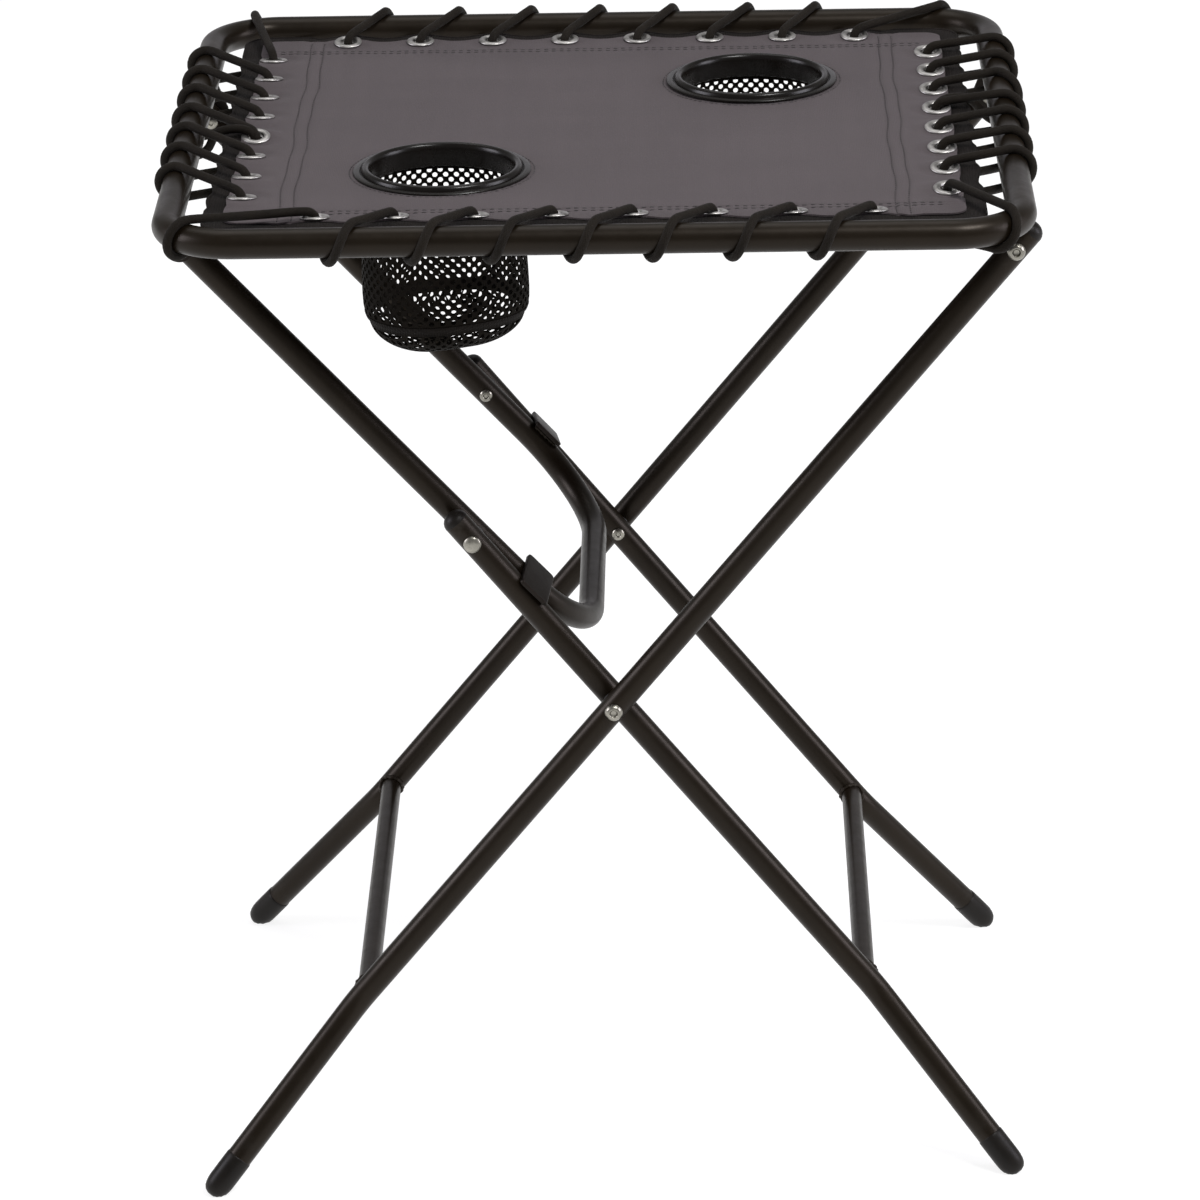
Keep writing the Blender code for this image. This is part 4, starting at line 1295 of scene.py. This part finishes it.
FOOT = [(0.0, 0.0112), (0.0030, 0.0109), (0.0052, 0.0098), (0.0068, 0.0079), (0.0077, 0.0055),
        (0.0082, 0.0028), (0.0084, 0.0), (0.00845, -0.0060), (0.00845, -0.0160),
        (0.0084, -0.0176), (0.0082, -0.0183), (0.00808, -0.0184), (0.00806, -0.0180),
        (0.00808, 0.0003), (0.0, 0.0004)]
END = [(0.0, 0.0068), (0.0018, 0.0067), (0.0036, 0.0062), (0.0052, 0.0053), (0.0066, 0.0040),
       (0.0076, 0.0023), (0.0080, 0.0006), (0.00805, 0.0001), (0.0078, -0.0002), (0.0, -0.0003)]


def clamp_floor(ob, low=0.0003):
    for v in ob.data.vertices:
        if v.co.z < low:
            v.co.z = low


def weld_at_leg(name, bar, y, sg, d, body, seed):
    """Fillet round a crossbar end where it meets the curved wall of the leg."""
    rho = BAR_D / 2 + 0.0007
    nrm = Vector((-d.y, d.x))
    line = []
    for k in range(28):
        a = 2 * math.pi * k / 28
        u, w = rho * math.cos(a), rho * math.sin(a)
        q = bar + d * u + nrm * w
        yy = y - math.sqrt((LEG_D / 2) ** 2 - w * w) - 0.0003
        line.append((q.x, sg * yy, q.y))
    return bead(name, line, 0.0014, body, True, seed)


def leg_pair(word, body, origin, d, above, y):
    for tag, sg in (("front", -1), ("rear", 1)):
        pts, run = leg_path(origin, d, above, sg, y)
        ob = tube("%s_leg_tube_%s" % (word, tag), pts, LEG_D / 2, M_TUBE, 48)
        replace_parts(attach(ob, body),
                    "%s_leg_%s" % (word, tag))
        cap = turned("%s_foot_%s" % (word, tag), FOOT, 48, M_CAP, along(run, pts[-1]))
        clamp_floor(cap)
        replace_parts(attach(cap, body),
                    "%s_foot_cap_%s" % (word, tag))
        end = turned("%s_plug_%s" % (word, tag), END, 44, M_CAP,
                     along((-d.x, 0, -d.y), pts[0]))
        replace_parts(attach(end, body),
                    "%s_end_cap_%s" % (word, tag))
        bar = P2 + d * BAR_AT
        weld_at_leg("%s_bar_weld_%s" % (word, tag), bar, y, sg, d, body, 20 + sg)
    bar = P2 + d * BAR_AT
    w = y - 0.0025
    ob = tube("%s_crossbar_tube" % word, [(bar.x, -w + 2 * w * k / 24, bar.y) for k in range(25)],
              BAR_D / 2, M_TUBE, 40)
    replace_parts(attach(ob, body), "%s_crossbar" % word)


leg_pair("outer", "outer_legs", P1, dir_a, A_TOP, Y_A)
leg_pair("inner", "inner_legs", P3, dir_b, B_TOP, Y_B)

# ===================================================================== lock bar
u_end = P3 + dir_u * U_BAR
u_top = P4 - dir_u * U_TOP
half = [(u_top.x, -Y_U, u_top.y)]
straight = u_end - dir_u * U_RC
for k in range(1, 14):
    q = u_top + (straight - u_top) * (k / 14)
    half.append((q.x, -Y_U, q.y))
for i in range(25):
    a = math.radians(90) * i / 24
    q = u_end - dir_u * (U_RC - U_RC * math.sin(a))
    half.append((q.x, -Y_U + U_RC * (1 - math.cos(a)), q.y))
for k in range(1, 8):
    half.append((half[14 + 24][0], half[14 + 24][1] * (1 - k / 7.5), half[14 + 24][2]))
upts = half + [(x, -y, z) for x, y, z in reversed(half)]
ubar = tube("lock_bar_tube", upts, LEG_D / 2, M_TUBE, 48, round_ends=False)
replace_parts(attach(ubar, "lock_bar"), "lock_bar")
for sg, tag in ((-1, "front"), (1, "rear")):
    plug = turned("lock_bar_plug_" + tag,
                  [(0.0, 0.0022), (0.0040, 0.0021), (0.0062, 0.0017), (0.0074, 0.0009),
                   (0.0078, 0.0), (0.0, -0.0002)], 40, M_CAP,
                  along((-dir_u.x, 0, -dir_u.y), (u_top.x, sg * Y_U, u_top.y)))
    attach(plug, "lock_bar")

# ------------------------------------------------------------------ stop plates
TAB_AT, TAB_L, TAB_W, TAB_T = 0.0475, 0.0220, 0.0360, 0.0028
nu = Vector((-dir_u.y, dir_u.x))
nb = Vector((-dir_b.y, dir_b.x))
for tag, sg in (("front", -1), ("rear", 1)):
    on_u = P3 + dir_u * TAB_AT + nu * (LEG_D / 2 + GAP)
    on_b = P3 + dir_b * TAB_AT + nb * (LEG_D / 2 + GAP)
    pu = Vector((on_u.x, sg * Y_U, on_u.y))
    pb = Vector((on_b.x, sg * Y_B, on_b.y))
    across = (pb - pu).normalized()
    length = Vector((dir_u.x, 0, dir_u.y))
    up = length.cross(across).normalized()
    if up.z < 0:
        up = -up
    length = across.cross(up).normalized()
    rot = Matrix((across, length, up)).transposed().to_4x4()
    if rot.determinant() < 0:
        rot = Matrix((across, -length, up)).transposed().to_4x4()
    mid = (pu + pb) / 2 + up * (TAB_T / 2 + 0.00005)
    cu = bpy.data.curves.new("tab_" + tag, "CURVE")
    cu.dimensions = "2D"
    cu.fill_mode = "BOTH"
    bev = 0.0006
    cu.extrude = TAB_T / 2 - bev
    cu.bevel_depth = bev
    cu.bevel_resolution = 3
    cu.offset = -bev
    outline = round_rect(TAB_W / 2, TAB_L / 2, 0.0026, 8, 0.003)
    sp = cu.splines.new("POLY")
    sp.points.add(len(outline) - 1)
    for p, (a, b) in zip(sp.points, outline):
        p.co = (a, b, 0, 1)
    sp.use_cyclic_u = True
    tmp = bpy.data.objects.new("tab_tmp_" + tag, cu)
    bpy.context.scene.collection.objects.link(tmp)
    dg = bpy.context.evaluated_depsgraph_get()
    me = bpy.data.meshes.new_from_object(tmp.evaluated_get(dg))
    bpy.data.objects.remove(tmp, do_unlink=True)
    bm = bmesh.new()
    bm.from_mesh(me)
    bmesh.ops.remove_doubles(bm, verts=bm.verts, dist=1e-6)
    bmesh.ops.recalc_face_normals(bm, faces=bm.faces)
    bm.to_mesh(me)
    bm.free()
    me.transform(Matrix.Translation(mid) @ rot)
    me.polygons.foreach_set("use_smooth", [True] * len(me.polygons))
    me.set_sharp_from_angle(angle=math.radians(35))
    me.materials.clear()
    me.materials.append(M_PLATE)
    ob = bpy.data.objects.new("stop_tab_" + tag, me)
    bpy.context.scene.collection.objects.link(ob)
    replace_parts(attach(ob, "lock_bar"), "stop_plate_" + tag)
    # the fillets that join the plate to the bar, one along each side of the contact
    for e in (-1, 1):
        base = pu + Vector((length.x, length.y, length.z)) * 0.0
        shift = across * (-e * 0.0042)
        line = []
        for k in range(7):
            t = -0.0085 + 0.017 * k / 6
            q = pu + length * t + shift - up * 0.0011
            line.append(tuple(q))
        bead("stop_weld_%s_%d" % (tag, 1 + (e > 0)), line, 0.0012, "lock_bar", False, 40 + e)


# ======================================================================= rivets
R = LEG_D / 2


def head(h, dimple):
    r = HEAD_D / 2
    if dimple:
        return [(0.0, h * 0.42), (0.0010, h * 0.42), (0.0017, h * 0.50), (0.0021, h * 0.78),
                (0.0026, h * 0.98), (0.0033, h), (0.0041, h * 0.84), (0.0049, h * 0.52),
                (r - 0.0001, h * 0.22), (r, h * 0.08), (r - 0.0002, 0.0)]
    pts = [(r * math.sin(math.radians(a)), h * (0.12 + 0.88 * math.cos(math.radians(a))))
           for a in range(0, 91, 9)]
    pts[0] = (0.0, h)
    return pts + [(r, 0.0)]


def rivet(name, node_name, at, y_out, y_in, sg, body, top=True, tail=True, dimple=False):
    L = y_out - y_in
    rs, rt = RIVET_D / 2, 0.0040
    prof = (head(0.0030, dimple) if top else [(0.0, 0.0)]) + [(rs, 0.0)]
    if tail:
        prof += [(rs, -L), (rt, -L), (rt + 0.0001, -L - 0.0005), (rt - 0.0004, -L - 0.0012),
                 (0.0028, -L - 0.0017), (0.0018, -L - 0.0018), (0.0014, -L - 0.0014),
                 (0.0012, -L - 0.0008), (0.0, -L - 0.0008)]
    else:
        prof += [(rs, -L), (0.0, -L)]
    ob = turned(name, prof, 40, M_RIVET, along((0, sg, 0), (at.x, sg * y_out, at.y)), angle=40)
    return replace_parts(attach(ob, body), node_name)


def washer(name, node_name, at, y, sg, body, t=0.0014, d=0.0130):
    e = 0.00025
    prof = [(0.0033, t / 2 - e), (0.0033 + e, t / 2), (d / 2 - e, t / 2), (d / 2, t / 2 - e),
            (d / 2, -t / 2 + e), (d / 2 - e, -t / 2), (0.0033 + e, -t / 2), (0.0033, -t / 2 + e)]
    ob = turned(name, prof, 40, M_NYLON, along((0, sg, 0), (at.x, sg * y, at.y)), closed=True)
    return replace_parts(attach(ob, body), node_name)


for tag, sg in (("front", -1), ("rear", 1)):
    rivet("rivet_top_" + tag, "top_rivet_" + tag, P1, Y_A + R - 0.0004,
          Y_BA - PLATE_T / 2 - GAP, sg, "tabletop", dimple=True)
    rivet("rivet_cross_" + tag, "cross_rivet_" + tag, P2, Y_A + R - 0.0004, Y_B - R - GAP, sg,
          "outer_legs", dimple=True)
    washer("washer_cross_" + tag, "cross_washer_" + tag, P2, (Y_A + Y_B) / 2, sg, "outer_legs")
    rivet("rivet_knee_" + tag, "knee_rivet_head_" + tag, P3, Y_B + R - 0.0004, Y_U + R + 0.0006,
          sg, "inner_legs", tail=False)
    rivet("rivet_knee_tail_" + tag, "knee_rivet_tail_" + tag, P3, Y_U + R, Y_U - R - GAP, sg,
          "lock_bar", top=False)
    washer("washer_knee_" + tag, "knee_washer_" + tag, P3, (Y_B + Y_U) / 2, sg, "inner_legs")
    rivet("rivet_bar_" + tag, "bar_rivet_" + tag, P4, Y_BU + PLATE_T / 2 + GAP, Y_U - R - GAP,
          sg, "tabletop")

# ======================================================= floor, light and camera
sc = bpy.context.scene
me = bpy.data.meshes.new("floor")
bm = bmesh.new()
bmesh.ops.create_grid(bm, x_segments=1, y_segments=1, size=14.0)
bm.to_mesh(me)
bm.free()
floor = bpy.data.objects.new("floor", me)
sc.collection.objects.link(floor)
fm, fnt, fb = new_mat("floor_white")
fb.inputs["Base Color"].default_value = (0.30, 0.30, 0.30, 1)
fb.inputs["Roughness"].default_value = 0.9
fb.inputs["Specular IOR Level"].default_value = 0.1
fb.inputs["Emission Color"].default_value = (1, 1, 1, 1)
fb.inputs["Emission Strength"].default_value = 0.82
me.materials.append(fm)
floor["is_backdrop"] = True

w = bpy.data.worlds.new("studio")
sc.world = w
w.use_nodes = True
w.node_tree.nodes["Background"].inputs[0].default_value = (1.0, 0.995, 0.985, 1)
w.node_tree.nodes["Background"].inputs[1].default_value = 0.30


def area_light(name, at, target, size, power, colour=(1, 1, 1)):
    li = bpy.data.lights.new(name, "AREA")
    li.shape = "RECTANGLE"
    li.size, li.size_y = size
    li.energy = power
    li.color = colour
    ob = bpy.data.objects.new(name, li)
    ob.location = at
    ob.rotation_euler = (Vector(target) - Vector(at)).to_track_quat("-Z", "Y").to_euler()
    sc.collection.objects.link(ob)
    ob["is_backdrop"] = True
    return ob


aim = (0, 0, 0.45)
area_light("key_strip", (1.15, -1.35, 3.1), aim, (0.95, 0.34), 62)
area_light("left_box", (-3.0, -0.4, 1.5), aim, (1.3, 1.5), 46, (0.93, 0.91, 1.0))
area_light("right_box", (3.0, -0.4, 1.4), aim, (1.3, 1.5), 46, (0.93, 0.91, 1.0))
area_light("top_box", (-0.4, 0.9, 3.4), aim, (2.2, 1.8), 22)
area_light("back_wall", (0, 4.6, 1.5), (0, 0, 0.6), (5.0, 1.5), 10, (0.93, 0.90, 1.0))

yaw, pitch, roll, focal = -0.018565, 0.363673, -0.019207, 5932.64
eye = Vector((61.528, -3539.646, 1661.459)) / 1000
fwd = Vector((math.sin(yaw) * math.cos(pitch), math.cos(yaw) * math.cos(pitch), -math.sin(pitch)))
rgt = Vector((math.cos(yaw), -math.sin(yaw), 0))
upv = rgt.cross(fwd)
c_, s_ = math.cos(roll), math.sin(roll)
r2, u2 = rgt * c_ + upv * s_, upv * c_ - rgt * s_
cam = bpy.data.cameras.new("camera")
cam.lens = focal / 1200 * 36
cam.sensor_width = 36
cam.clip_end = 50
co = bpy.data.objects.new("camera", cam)
mm = Matrix((r2, u2, -fwd)).transposed().to_4x4()
mm.translation = eye
co.matrix_world = mm
sc.collection.objects.link(co)
sc.camera = co
sc.view_settings.view_transform = "Standard"


def plain(b):
    return [[float(c) for c in v] if hasattr(v, "__len__") else float(v) for v in b]


{"cad": plain(BOX_CAD), "visual": plain(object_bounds())}
